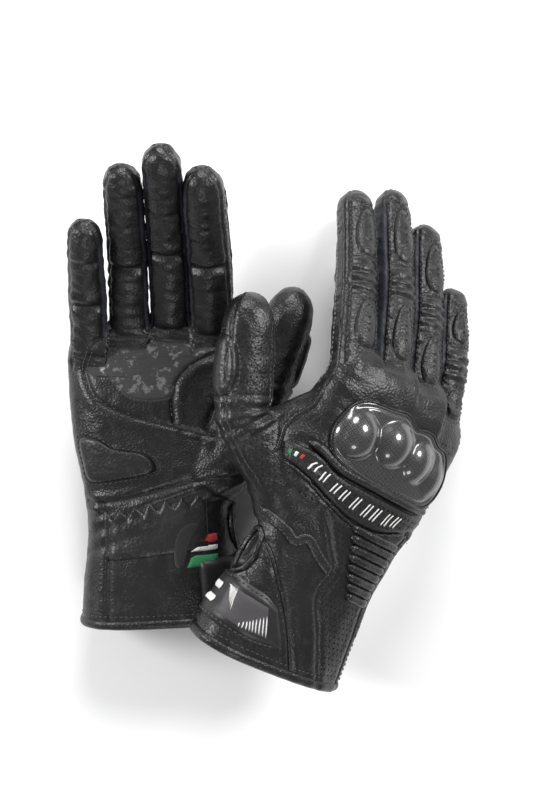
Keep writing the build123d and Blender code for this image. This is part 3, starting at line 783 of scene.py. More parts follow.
class Finish:
    """One material and the nodes of its surface."""

    def printed_suede(self):
        """Dark nap with glossy blots printed over it: the colour and how much is blot."""
        blot = self.noise(210, 6, None, 0.72).above(0.56, 0.03)
        nap = self.mix(self.noise(1500, 2), (0.016, 0.0155, 0.016), (0.040, 0.039, 0.040))
        return self.mix(blot * 0.85, nap, (0.13, 0.128, 0.13)), blot

    def __init__(self, name, colour, roughness, **fixed):
        self.material = bpy.data.materials.new(name)
        self.material.use_nodes = True
        self.tree = self.material.node_tree
        self.shader = self.tree.nodes["Principled BSDF"]
        self.material.diffuse_color = (*colour, 1)
        self.plug((*colour, 1), self.shader.inputs["Base Color"])
        self.plug(roughness, self.shader.inputs["Roughness"])
        for key, value in fixed.items():
            self.plug(value, self.shader.inputs[key.replace("_", " ").title().replace("Ior", "IOR")])

    def plug(self, item, socket):
        if isinstance(item, Value):
            self.tree.links.new(item.socket, socket)
        else:
            socket.default_value = item

    def node(self, kind, settings=None, inputs=None, output=0):
        """Adds a node; its settings come first, then the values or links of its sockets."""
        made = self.tree.nodes.new(kind)
        for key, value in (settings or {}).items():
            if key == "stops":
                for i, (place, shade) in enumerate(value):
                    stop = made.color_ramp.elements[i] if i < 2 else made.color_ramp.elements.new(place)
                    stop.position, stop.color = place, shade
            else:
                setattr(made, key, value)
        for key, value in (inputs or {}).items():
            self.plug(value, made.inputs[key])
        return Value(self, made.outputs[output])

    def place(self, scale=(1, 1, 1), turned=(0, 0, 0)):
        """Object coordinates, stretched and turned."""
        here = self.node("ShaderNodeTexCoord", output="Object")
        return self.node("ShaderNodeMapping", {}, {"Vector": here, "Scale": scale, "Rotation": turned})

    def noise(self, scale, detail=3.0, where=None, roughness=0.55):
        return self.node("ShaderNodeTexNoise", {}, {
            "Vector": where or self.place(), "Scale": scale, "Detail": detail, "Roughness": roughness})

    def cells(self, scale, where=None, feature="F1"):
        return self.node("ShaderNodeTexVoronoi", {"feature": feature},
                         {"Vector": where or self.place(), "Scale": scale})

    def attribute(self, name):
        return self.node("ShaderNodeAttribute", {"attribute_name": name}, output="Fac")

    def mix(self, share, first, second):
        """Blends two colours."""
        made = self.tree.nodes.new("ShaderNodeMix")
        made.data_type = "RGBA"
        for socket, item in ((0, share), (6, first), (7, second)):
            if socket and isinstance(item, tuple):
                item = (*item[:3], 1)
            self.plug(item, made.inputs[socket])
        return Value(self, made.outputs[2])

    def bump(self, height, distance, strength=1.0, over=None):
        inputs = {"Height": height, "Distance": distance, "Strength": strength}
        if over:
            inputs["Normal"] = over
        return self.node("ShaderNodeBump", {}, inputs)

    def wear(self, colour=None, roughness=None, normal=None, coat=None):
        """Connects what varies over the surface."""
        for key, item in (("Base Color", colour), ("Roughness", roughness), ("Normal", normal),
                          ("Coat Weight", coat)):
            if item:
                self.plug(item, self.shader.inputs[key])
        return self.material


def leather(name, colour, rub, roughness, grain=1.0, masks=False):
    """Grained cowhide: pebbles, fine folds, uneven dye and a little rubbing to a lighter tone on what stands
    proud; with masks, also painted shade in the creases, knitted fabric and printed suede.
    """
    made = Finish(name, colour, roughness, specular_ior_level=0.42, coat_roughness=0.32)
    made.shader.inputs["Coat Weight"].default_value = 0.12
    pebbles = made.cells(820 / grain)
    creases = made.noise(170, 5, made.place((1, 0.55, 1)))
    fine = made.noise(1900, 2)
    patches = made.noise(38, 3)
    height = pebbles * 0.8 + fine * 0.25 + creases * 0.6
    normal = made.bump(height, 0.00029, 0.8)
    dye = made.mix(patches.above(0.52, 0.3), colour, tuple(c * 1.45 for c in colour))
    worn = creases.above(0.60, 0.16) * 0.5
    shade = made.mix(worn, dye, rub)
    rough = roughness + patches * 0.16 - 0.08 + pebbles * 0.06
    if masks:
        crease, fabric, suede = (made.attribute(key) for key in ("crease", "fabric", "suede"))
        # painted shade: the colour darkens to a quarter of itself in the creases, where shade falls
        shade = made.mix(crease * 0.8, shade, tuple(c * 0.25 for c in colour))
        weave = made.cells(1500)
        knit = made.mix(weave, (0.006, 0.007, 0.010), (0.020, 0.022, 0.032))
        shade = made.mix(fabric, shade, knit)
        nap, blot = made.printed_suede()
        shade = made.mix(suede, shade, nap)
        rough = rough + fabric * 0.35 + suede * (0.42 - blot * 0.50) + crease * 0.15
    return made.wear(shade, rough, normal)


def carbon():
    """Twill weave under clear lacquer."""
    made = Finish("carbon_shell", (0.01, 0.01, 0.011), 0.34, coat_weight=1.0, coat_roughness=0.03)
    where = made.place((1, 1, 1))
    waves = [made.node("ShaderNodeTexWave", {"wave_type": "BANDS", "bands_direction": "DIAGONAL",
                                             "wave_profile": "SIN"},
                       {"Vector": made.place((1, 1, 0), (0, 0, t)), "Scale": 420.0}) for t in (0.25, 1.82)]
    weave = made.node("ShaderNodeTexChecker", {},
                      {"Vector": made.place((1, 1, 0), (0, 0, 0.4)), "Scale": 520.0},
                      output="Fac")
    tone = waves[0] * weave + waves[1] * (1 - weave)
    shade = made.mix(tone, (0.0012, 0.0012, 0.0013), (0.05, 0.05, 0.052))
    scratch = made.noise(420, 4, where)
    return made.wear(shade, 0.26 + tone * 0.16 + scratch * 0.06,
                     made.bump(tone + scratch * 0.2, 0.00006, 0.5))


def moulded(name, colour, light, roughness, scale=700, **fixed):
    """Matt rubber or print with a fine pebble."""
    made = Finish(name, colour, roughness, **fixed)
    speck, cloud = made.noise(scale, 3), made.noise(70, 3)
    shade = made.mix(cloud.above(0.5, 0.4) * 0.6, colour, light)
    return made.wear(shade, roughness - 0.05 + speck * 0.12, made.bump(speck, 0.00014, 0.6))


def woven(name, colour, light, scale=1300, roughness=0.85):
    """Plain weave cloth or webbing."""
    made = Finish(name, colour, roughness, sheen_weight=0.25, sheen_roughness=0.5)
    over = made.node("ShaderNodeTexWave", {"bands_direction": "X"},
                     {"Vector": made.place(), "Scale": scale / 3})
    under = made.node("ShaderNodeTexWave", {"bands_direction": "Y"},
                      {"Vector": made.place(), "Scale": scale / 3})
    fuzz = made.noise(scale, 3)
    cloth = over * 0.5 + under * 0.5 + fuzz * 0.6
    return made.wear(made.mix(cloth.above(0.75, 0.6), colour, light), roughness - 0.06 + fuzz * 0.12,
                     made.bump(cloth, 0.0003, 0.8))


def grip_suede():
    """The palm's printed suede."""
    made = Finish("grip_suede", (0.02, 0.02, 0.021), 0.85)
    shade, blot = made.printed_suede()
    return made.wear(shade, 0.82 - blot * 0.5, made.bump(made.noise(1500, 2) + blot * 0.7, 0.0002, 0.6))


def make_materials():
    """Every finish, by name."""
    black, rub = (0.0050, 0.0044, 0.0050), (0.023, 0.020, 0.0225)
    return {
        "skin": leather("smooth_leather", black, rub, 0.35, 1.0, True),
        "armour": leather("armour_leather", (0.0065, 0.0063, 0.0065), (0.028, 0.027, 0.027), 0.36, 0.8),
        "rib": leather("rib_leather", (0.005, 0.005, 0.0052), (0.022, 0.022, 0.022), 0.26, 0.7),
        "slider": leather("slider_leather", (0.0075, 0.0070, 0.0075), (0.024, 0.023, 0.024), 0.36, 1.4),
        "binding": leather("edge_binding", (0.0045, 0.0044, 0.0045), (0.02, 0.02, 0.02), 0.32, 0.7),
        "band": leather("band_leather", (0.004, 0.004, 0.0042), (0.016, 0.016, 0.016), 0.42, 0.8),
        # painted shade: punched holes are near-black discs on unbroken leather, coloured as the shade inside
        # a hole
        "hole": moulded("punched_hole", (0.0008, 0.0008, 0.0008), (0.0012, 0.0012, 0.0012), 0.95),
        "carbon": carbon(),
        "strap": moulded("strap_rubber", (0.008, 0.0075, 0.008), (0.014, 0.013, 0.014), 0.42),
        "relief": moulded("strap_relief", (0.040, 0.037, 0.040), (0.055, 0.051, 0.055), 0.55),
        "print": moulded("light_trim", (0.62, 0.62, 0.61), (0.74, 0.74, 0.73), 0.5),
        "suede": grip_suede(),
        "dots": moulded("grip_dots", (0.006, 0.006, 0.0065), (0.011, 0.011, 0.0115), 0.34, 420),
        "pile": woven("hook_and_loop", (0.003, 0.003, 0.003), (0.016, 0.016, 0.016), 2600, 0.95),
        "thread": woven("thread", (0.018, 0.0175, 0.0175), (0.06, 0.058, 0.057), 3000, 0.6),
        "pale": woven("pale_thread", (0.16, 0.155, 0.15), (0.30, 0.29, 0.28), 3000, 0.6),
        "lining": woven("lining", (0.003, 0.003, 0.0035), (0.012, 0.012, 0.013), 1500, 0.92),
        "red": woven("red_tape", (0.42, 0.010, 0.012), (0.52, 0.02, 0.02), 1600, 0.7),
        "green": woven("green_tape", (0.006, 0.16, 0.045), (0.012, 0.22, 0.07), 1600, 0.7),
        "white": woven("white_tape", (0.62, 0.62, 0.60), (0.76, 0.76, 0.74), 1600, 0.7),
    }


# ---------------------------------------------------------------- repeats by geometry nodes

def scatter_tree(shape):
    """A node tree that sets a small shape on every point, by its along and up attributes."""
    tree = bpy.data.node_groups.new(f"scatter_{shape}", "GeometryNodeTree")
    face = tree.interface
    face.new_socket("Geometry", in_out="INPUT", socket_type="NodeSocketGeometry")
    for name in ("Length", "Width", "Height"):
        face.new_socket(name, in_out="INPUT", socket_type="NodeSocketFloat")
    face.new_socket("Finish", in_out="INPUT", socket_type="NodeSocketMaterial")
    face.new_socket("Geometry", in_out="OUTPUT", socket_type="NodeSocketGeometry")

    def node(kind, **settings):
        made = tree.nodes.new(kind)
        for key, value in settings.items():
            setattr(made, key, value)
        return made

    def named(name, kind):
        made = node("GeometryNodeInputNamedAttribute", data_type=kind)
        made.inputs["Name"].default_value = name
        return made.outputs["Attribute"]

    link = tree.links.new
    taken, given = node("NodeGroupInput"), node("NodeGroupOutput")
    if shape == "stitch":
        form = node("GeometryNodeMeshUVSphere")
        form.inputs["Segments"].default_value, form.inputs["Rings"].default_value = 6, 4
        form.inputs["Radius"].default_value = 0.5
    else:
        form = node("GeometryNodeMeshCircle", fill_type="TRIANGLE_FAN")
        form.inputs["Vertices"].default_value = 9
        form.inputs["Radius"].default_value = 0.5
    size = node("ShaderNodeCombineXYZ")
    for axis, name in zip("XYZ", ("Length", "Width", "Height")):
        link(taken.outputs[name], size.inputs[axis])
    first = node("FunctionNodeAlignRotationToVector", axis="Z")
    link(named("up", "FLOAT_VECTOR"), first.inputs["Vector"])
    second = node("FunctionNodeAlignRotationToVector", axis="X", pivot_axis="Z")
    link(first.outputs["Rotation"], second.inputs["Rotation"])
    link(named("along", "FLOAT_VECTOR"), second.inputs["Vector"])
    spread = node("GeometryNodeInstanceOnPoints")
    link(taken.outputs["Geometry"], spread.inputs["Points"])
    link(form.outputs["Mesh"], spread.inputs["Instance"])
    link(second.outputs["Rotation"], spread.inputs["Rotation"])
    link(size.outputs["Vector"], spread.inputs["Scale"])
    real = node("GeometryNodeRealizeInstances")
    link(spread.outputs["Instances"], real.inputs["Geometry"])
    finish = node("GeometryNodeSetMaterial")
    link(real.outputs["Geometry"], finish.inputs["Geometry"])
    link(taken.outputs["Finish"], finish.inputs["Material"])
    link(finish.outputs["Geometry"], given.inputs["Geometry"])
    return tree


def scatter(tree, name, points, along, up, size, material):
    """The shapes of a scatter tree over posed points, as one plain mesh."""
    mesh = bpy.data.meshes.new(name + "_points")
    mesh.vertices.add(len(points))
    mesh.vertices.foreach_set("co", np.asarray(points, np.float32).ravel())
    for key, values in (("along", along), ("up", up)):
        layer = mesh.attributes.new(key, "FLOAT_VECTOR", "POINT")
        layer.data.foreach_set("vector", np.asarray(values, np.float32).ravel())
    holder = bpy.data.objects.new(name + "_points", mesh)
    bpy.context.scene.collection.objects.link(holder)
    modifier = holder.modifiers.new("scatter", "NODES")
    modifier.node_group = tree
    sockets = {item.name: item.identifier for item in tree.interface.items_tree if item.in_out == "INPUT"}
    for key, value in zip(("Length", "Width", "Height"), size):
        modifier[sockets[key]] = value * MM
    modifier[sockets["Finish"]] = material
    result = bpy.data.meshes.new_from_object(holder.evaluated_get(bpy.context.evaluated_depsgraph_get()))
    result.name = name
    holder.modifiers.clear()
    bpy.data.objects.remove(holder)
    return result


class Sewing:
    """Collects stitches and holes on the flat glove, one set for each region."""

    def __init__(self):
        self.sets = {}

    def add(self, kind, region, places, normals, along):
        self.sets.setdefault((kind, region), []).append(
            (np.asarray(places, float), unit(np.asarray(normals, float)), unit(np.asarray(along, float))))

    def run(self, region, places, normals, pitch=3.0, aside=0.0, lift=0.12, kind="stitch"):
        """A row of stitches along a path, set aside from it."""
        places, normals = np.asarray(places, float), unit(np.asarray(normals, float))
        along = unit(np.gradient(places, axis=0))
        places = places + np.cross(along, normals) * aside + normals * lift
        far = np.concatenate([[0], np.cumsum(np.linalg.norm(np.diff(places, axis=0), axis=1))])
        count = int(far[-1] / pitch)
        if count < 2:
            return
        spots = (np.arange(count) + 0.5) * far[-1] / count
        pick = [np.stack([np.interp(spots, far, item[:, k]) for k in range(3)], axis=1)
                for item in (places, normals, along)]
        self.add(kind, region, *pick)


# ---------------------------------------------------------------- pieces

WORK = {}
REGION_NODES = {
    "hand": ("palm_panel", "back_panel", "index_side_panel", "outer_side_panel"),
    "wrist": ("cuff_back", "cuff_palm"),
    **{f"{name}_low": (f"{name}_base",) for name in DIGITS},
    **{f"{name}_high": (f"{name}_tip",) for name in DIGITS},
}


def sizes():
    return bpy.context.scene.glove_sizes


def replace(pieces, *nodes):
    """Hides each glove's CAD nodes that its piece takes the place of."""
    for glove, piece in zip(GLOVES, pieces):
        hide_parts(*(f"{glove}_{node}" for node in nodes))


def skin_regions(skin):
    """The region of every face, and whether it is kept."""
    centre = skin.flat[skin.quads].mean(1)
    owner = finger_shares(centre).argmax(1)
    label = np.where(centre[:, 1] < 8, "wrist", "hand").astype("U12")
    for i, name in enumerate(NAMES):
        s = DIGITS[name].local(centre)[:, 1]
        mine = (owner == i) & (s > -10) & (centre[:, 1] > 60)
        label[mine] = name + "_low"
        label[mine & (s > DIGITS[name].base / 2)] = name + "_high"
    s, _, out = digit_round(DIGITS["thumb"], centre)
    label[(s > 2) & (out < 20)] = "thumb_low"
    label[(s > 31) & (out < 20)] = "thumb_high"
    return label, centre[:, 1] > CUFF_END


def shell(points, normals, quads, thickness):
    """Leather of a thickness from a part of the skin: its points, normals, faces and the skin points used."""
    used, local = np.unique(quads, return_inverse=True)
    local = local.reshape(-1, 4)
    count = len(used)
    first, second = local.ravel(), np.roll(local, -1, axis=1).ravel()
    open_edge = ~np.isin(second * count + first, first * count + second)
    a, b = first[open_edge], second[open_edge]
    rim = np.column_stack([b, a, a + count, b + count])
    outer, normal = points[used], normals[used]
    return (np.concatenate([outer, outer - normal * thickness]), np.concatenate([normal, -normal]),
            np.concatenate([local, local[:, ::-1] + count, rim]), used, len(local))


def merge(parts):
    """Several (points, faces) as one."""
    points, faces, start = [], [], 0
    for verts, polygons in parts:
        points.append(np.asarray(verts))
        faces += [tuple(start + i for i in polygon) for polygon in polygons]
        start += len(verts)
    return np.concatenate(points), faces


def panel(surface, first, second, height, across=9, sunk=0.5, crown=5.0):
    """A closed sheet between two lines of plan points on a surface, with rounded edges."""
    first, second = np.asarray(first, float), np.asarray(second, float)
    rows, grid, below = len(first), [], []
    lengthwise = np.abs(np.linspace(-1, 1, rows)) ** (crown * max(1.0, rows / across))
    for t in np.linspace(0, 1, across):
        place, normal = surface(first * (1 - t) + second * t)
        rise = height * (1 - np.maximum(abs(2 * t - 1) ** crown, lengthwise)) ** (1 / 2.5) - 0.1
        grid.append(place + normal * rise[:, None])
        below.append(place - normal * sunk)
    points = np.concatenate(grid + below)
    half = across * rows
    faces = []
    for k in range(across - 1):
        for i in range(rows - 1):
            a, b = k * rows + i, (k + 1) * rows + i
            faces.append((a, a + 1, b + 1, b))
            faces.append((half + b, half + b + 1, half + a + 1, half + a))
    ring = ([i for i in range(rows)] + [k * rows + rows - 1 for k in range(1, across)]
            + [(across - 1) * rows + i for i in reversed(range(rows - 1))]
            + [k * rows for k in reversed(range(1, across - 1))])
    for a, b in zip(ring, ring[1:] + ring[:1]):
        faces.append((b, a, half + a, half + b))
    a, b, c = points[rows // 2], points[rows // 2 + 1], points[rows + rows // 2]
    out = points[rows // 2] - points[half + rows // 2]
    if np.cross(b - a, c - a) @ out < 0:
        faces = [face[::-1] for face in faces]
    return points, faces


def lifted(found, height):
    """Places and normals moved out along the normals."""
    return found[0] + found[1] * height, found[1]


def teardrop(start, end, width, skew=0.75, count=40):
    """Plan points (across, along) of a pad that is wider towards its start."""
    angle = np.linspace(0, 2 * math.pi, count, endpoint=False)
    u = (1 - np.cos(angle)) / 2
    wide = np.sin(angle)
    reach = np.sign(wide) * np.abs(wide) ** 0.75 * width * (1 - 0.32 * (u - 0.4) * skew * 2)
    return np.column_stack([-reach, start + (end - start) * u])


def on_digit(name):
    """A digit's surface as a function of plan points (arc from its back, length)."""
    digit = DIGITS[name]

    def surface(plan):
        plan = np.atleast_2d(plan)
        radius = np.interp(plan[:, 1], [0, digit.base, digit.length], digit.radii)
        return WORK["builder"].skin.round_digit(name, list(zip(plan[:, 1], np.degrees(plan[:, 0] / radius))))
    return surface


def round_cuff(plan):
    """The cuff's surface as a function of plan points (angle from +X towards the back, place along Y)."""
    return WORK["builder"].skin.round_hand([tuple(item) for item in np.atleast_2d(plan)])


class GLOVES_OT_leather(bpy.types.Operator):
    """Makes the leather body of each glove, one piece for each part that bends"""
    bl_idname = "gloves.leather"
    bl_label = "Leather body"

    def execute(self, context):
        voxel = sizes().mesh_step * 1.0
        WORK["materials"] = make_materials()
        WORK["builder"] = builder = Builder(voxel)
        WORK["sewing"] = Sewing()
        skin = builder.skin
        label, kept = skin_regions(skin)
        crease, fabric, suede = skin_masks(skin.flat, skin.normals)
        for glove in builder.gloves:
            posed = glove.pose(skin.points)
            normals = point_normals(posed, skin.quads)
            for region, nodes in REGION_NODES.items():
                quads = skin.quads[(label == region) & kept]
                points, normal, faces, used, outer = shell(posed, normals, quads, SKIN_THICKNESS * MM)
                mesh = quad_mesh(f"{glove.name}_{region}_leather", points, faces)
                twice = np.concatenate([used, used])
                piece = builder.finish(
                    mesh, glove, [WORK["materials"]["skin"], WORK["materials"]["lining"]], region,
                    "smooth_leather",
                    masks={"crease": crease[twice], "fabric": fabric[twice], "suede": suede[twice]})
                index = np.zeros(len(faces), np.int32)
                index[outer:] = 1
                mesh.polygons.foreach_set("material_index", index)
                mesh.normals_split_custom_set_from_vertices(normal.tolist())
                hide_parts(*(f"{glove.name}_{node}" for node in nodes))
        return {"FINISHED"}


class GLOVES_OT_guard(bpy.types.Operator):
    """Makes the hard knuckle guard, the padded roll behind it and the slanted band"""
    bl_idname = "gloves.guard"
    bl_label = "Knuckle guard"

    def execute(self, context):
        builder, materials, sewing = WORK["builder"], WORK["materials"], WORK["sewing"]
        outline = smooth_line(GUARD_OUTLINE, 2.2, True)[::-1]
        middle = np.array([-1.0, 61.0])
        plan = np.concatenate([middle + (outline - middle) * t for t in np.linspace(0.05, 1, 12)])
        spots, _ = builder.skin.back(plan)
        terms = lambda xy: np.column_stack([np.ones(len(xy)), xy, xy ** 2, xy[:, :1] * xy[:, 1:]])
        fit = np.linalg.lstsq(terms(plan), spots[:, 2], rcond=None)[0]
        rings = 30
        rows = []
        for t in 1 - np.linspace(0, 1, rings, endpoint=False) ** 1.15:
            xy = middle + (outline - middle) * t
            rise = 1.5 * (1 - t ** 14) ** 0.35 + 0.5
            for centre, (wide, deep), tall in DOMES:
                off = np.hypot((xy[:, 0] - centre[0]) / wide, (xy[:, 1] - centre[1]) / deep)
                cap = tall * np.clip(1 - off ** 2, 0, 1) ** 0.62
                rise = np.log(np.exp(rise / 0.55) + np.exp(cap / 0.55) * (off < 1)) * 0.55
            rise = rise - 0.7 * bump(t - 0.91, 0.022)
            rows.append(np.column_stack([xy, terms(xy) @ fit + rise]))
        count = len(outline)
        faces = [(i * count + j, i * count + (j + 1) % count, (i + 1) * count + (j + 1) % count,
                  (i + 1) * count + j)
                 for i in range(rings - 1) for j in range(count)]
        faces.append(tuple((rings - 1) * count + j for j in range(count)))
        below = np.column_stack([outline, terms(outline) @ fit - 1.2])
        start = rings * count
        faces += [((j + 1) % count, j, start + j, start + (j + 1) % count) for j in range(count)]
        faces.append(tuple(start + j for j in reversed(range(count))))
        area = np.cross(outline, np.roll(outline, -1, axis=0)).sum()
        faces = faces if area > 0 else [face[::-1] for face in faces]
        guard = builder.place("guard", np.concatenate(rows + [below]), faces, materials["carbon"], "hand",
                              "carbon_shell", levels=1)
        replace(guard, "knuckle_guard", "knuckle_foam")
        edge = np.column_stack([outline, terms(outline) @ fit + 0.9])
        builder.place("guard_rim", *strip(edge, np.tile([0, 0, 1.0], (count, 1)),
                                          half_round(1.1, 0.9, 0.8), closed=True),
                      materials["binding"], "hand", "edge_binding")
        line = smooth_line([(x, y + 1.6) for x, y in BACK_SEAMS["band_high"]], 1.5)
        line = line[(line[:, 0] > -43) & (line[:, 0] < 37)]
        places, normals = builder.skin.back(line)
        roll = builder.place("guard_roll", *strip(places, normals, half_round(4.6, 2.8, 0.8, 10), 3),
                             materials["armour"], "hand", "armour_leather", levels=1)
        replace(roll, "knuckle_roll")
        for aside in (-3.1, 3.1):
            sewing.run("hand", places, normals, 2.7, aside)
        first = smooth_line([(x, y + 0.8) for x, y in BACK_SEAMS["band_low"][:-1]], 2.0)
        second = smooth_line([(x, y - 1.4) for x, y in BACK_SEAMS["band_high"][:-1]], 2.0)
        count = max(len(first), len(second))
        even = np.linspace(0, 1, count)
        first, second = (np.stack([np.interp(even, np.linspace(0, 1, len(line)), line[:, k]) for k in (0,
                1)], axis=1)
                         for line in (first, second))
        band = builder.place("band", *panel(builder.skin.back, first, second, 0.9), materials["band"], "hand",
                             "perforated_leather")
        replace(band, "knuckle_band")
        places, normals = builder.skin.back(first - (0, 0.9))
        builder.place("band_piping", *strip(places, normals, half_round(2.0, 1.6), 2),
                      materials["binding"], "hand",
                      "edge_binding")
        bars = []
        for t in np.linspace(0.14, 0.86, 9):
            i = int(t * (count - 1))
            low, high = first[i] * 0.72 + second[i] * 0.28, first[i] * 0.30 + second[i] * 0.70
            for shift in (-1.1, 1.1):
                bar = smooth_line([low + (shift, 0), high + (shift + 1.6, 0)], 1.5)
                places, normals = builder.skin.back(bar)
                bars.append(strip(places + normals * 0.55, normals, half_round(0.9, 0.5, 0.3, 6)))
        builder.place("band_bars", *merge(bars), materials["print"], "hand", "light_trim")
        for k, tape in enumerate(("green", "white", "red")):
            low = np.array([(-43.5 + 1.5 * k, y) for y in np.linspace(38, 42.5, 4)])
            builder.place(f"band_tab_{tape}", *panel(builder.skin.back, low, low + (1.35, 0), 1.3, 4),
                          materials[tape], "hand", "light_trim")
        return {"FINISHED"}


class GLOVES_OT_finger_pads(bpy.types.Operator):
    """Makes the padded, stitched pieces on the backs of the fingers"""
    bl_idname = "gloves.finger_pads"
    bl_label = "Finger pads"

    def execute(self, context):
        builder, materials, sewing = WORK["builder"], WORK["materials"], WORK["sewing"]
        for name in NAMES:
            digit, surface = DIGITS[name], on_digit(name)
            wide = digit.radii[1] * 0.66
            spans = {"low": (11.5, digit.base - 10.5), "high": (digit.base + 11.5, digit.length - 15.5)}
            for part, (start, end) in spans.items():
                region = f"{name}_{part}"
                outline = teardrop(start, end, wide)
                pads = builder.place(f"{region}_pad",
                                     *pillow(surface, outline, 2.0, (0, start + (end - start) * 0.45)),
                                     materials["armour"], region, "armour_leather", levels=1)
                middle = np.array([0, (start + end) / 2])
                ring = middle + (outline - middle) * (1 + 1.3 / np.array([wide, (end - start) / 2]))
                ring = np.concatenate([ring, ring[:1]])
                places, normals = surface(ring)
                sewing.run(region, places, normals, 2.5)
                inner = middle + (outline - middle) * 0.74
                places, normals = surface(np.concatenate([inner, inner[:1]]))
                sewing.run(region, places, normals, 2.4, 0, 1.72)
                holes = np.array([(0, start + (end - start) * k) for k in (0.34, 0.47, 0.60)])
                places, normals = surface(holes)
                sewing.add("hole", region, places + normals * 2.12, normals,
                           np.tile(digit.frame[:, 1], (3, 1)))
            for side in (-1, 1):
                for part, s0, s1 in (("low", 2, digit.base / 2), ("high", digit.base / 2, digit.length - 12)):
                    s = np.arange(s0, s1, 2.0)
                    arc = np.full(len(s), side * 50 / 57.3) * np.interp(s, [0, digit.base, digit.length],
                            digit.radii)
                    places, normals = surface(np.column_stack([arc, s]))
                    sewing.run(f"{name}_{part}", places, normals, 2.6)
            for offset in (-11.2, 11.2):
                arc = np.linspace(-0.8, 0.8, 9) * digit.radii[1]
                places, normals = surface(np.column_stack([arc, np.full(9, digit.base + offset)]))
                sewing.run(f"{name}_high" if offset > 0 else f"{name}_low", places, normals, 2.3)
            arc = np.linspace(-0.8, 0.8, 11) * digit.radii[2]
            for lean in (-2.2, 2.2):
                places, normals = surface(np.column_stack([arc, digit.length - 12.5 + lean * arc / 5]))
                sewing.run(f"{name}_high", places, normals, 2.2)
        return {"FINISHED"}


class GLOVES_OT_wrist(bpy.types.Operator):
    """Makes the ribs, the overlays and the slit's rolled edge at the wrist"""
    bl_idname = "gloves.wrist"
    bl_label = "Wrist"

    def execute(self, context):
        builder, materials, sewing = WORK["builder"], WORK["materials"], WORK["sewing"]
        ribs = []
        count = sizes().rib_count
        for k in range(count):
            y = 20.5 - 31.5 * k / (count - 1)
            left = np.interp(y, [-11, 20.5], [12.5, -3.5])
            places, normals = builder.skin.back(smooth_line([(left, y), (20, y - 0.6), (30.0, y - 1.3)], 1.6))
            ribs.append(strip(places, normals, half_round(4.9, 2.3, 0.9, 9), 1))
        ribs = builder.place("ribs", *merge(ribs), materials["rib"], "wrist", "smooth_leather", levels=1)
        replace(ribs, "wrist_accordion")
        line = smooth_line(WRIST_TAPE, 1.5)
        places, normals = builder.skin.back(line)
        builder.place("wrist_tape", *strip(places, normals, half_round(5.2, 1.0, 0.6, 10), 2),
                      materials["armour"],
                      "wrist", "armour_leather")
        for aside in (-1.7, 1.7):
            sewing.run("wrist", places, normals, 2.6, aside, 0.85)
        even = np.linspace(0, len(ZIGZAG) - 1, 66)
        high = np.stack([np.interp(even, np.arange(len(ZIGZAG)), np.array(ZIGZAG)[:, k]) for k in (0, 1)],
                        axis=1)
        low = np.column_stack([np.linspace(27, -26, 66), np.linspace(-25, -21, 66)])
        overlay = builder.place("wrist_overlay", *panel(builder.skin.palm, low, high, 0.8, 11, 0.5, 9.0),
                                materials["slider"], "wrist", "grip_suede")
        replace(overlay, "wrist_overlay")
        patch = smooth_line(LOOP_CRESCENT, 2, True)
        builder.place("loop_crescent", *pillow(builder.skin.palm, patch, 1.2, (-14, -15), 5),
                      materials["pile"], "wrist",
                      "hook_and_loop")
        turn_round = np.linspace(0, 2 * math.pi, 44, endpoint=False)
        y, z = -12 + (SLIT[1] + 2.2) * np.cos(turn_round), 5.8 * np.sin(turn_round)
        origins = np.column_stack([np.full(44, -80.0), y, z])
        places, normals = builder.skin.cast(origins, np.tile([1.0, 0, 0], (44, 1)))
        builder.place("slit_roll", *strip(places, normals, half_round(3.0, 1.9, 0.8, 8), closed=True),
                      materials["binding"], "cuff", "edge_binding", levels=1)
        return {"FINISHED"}


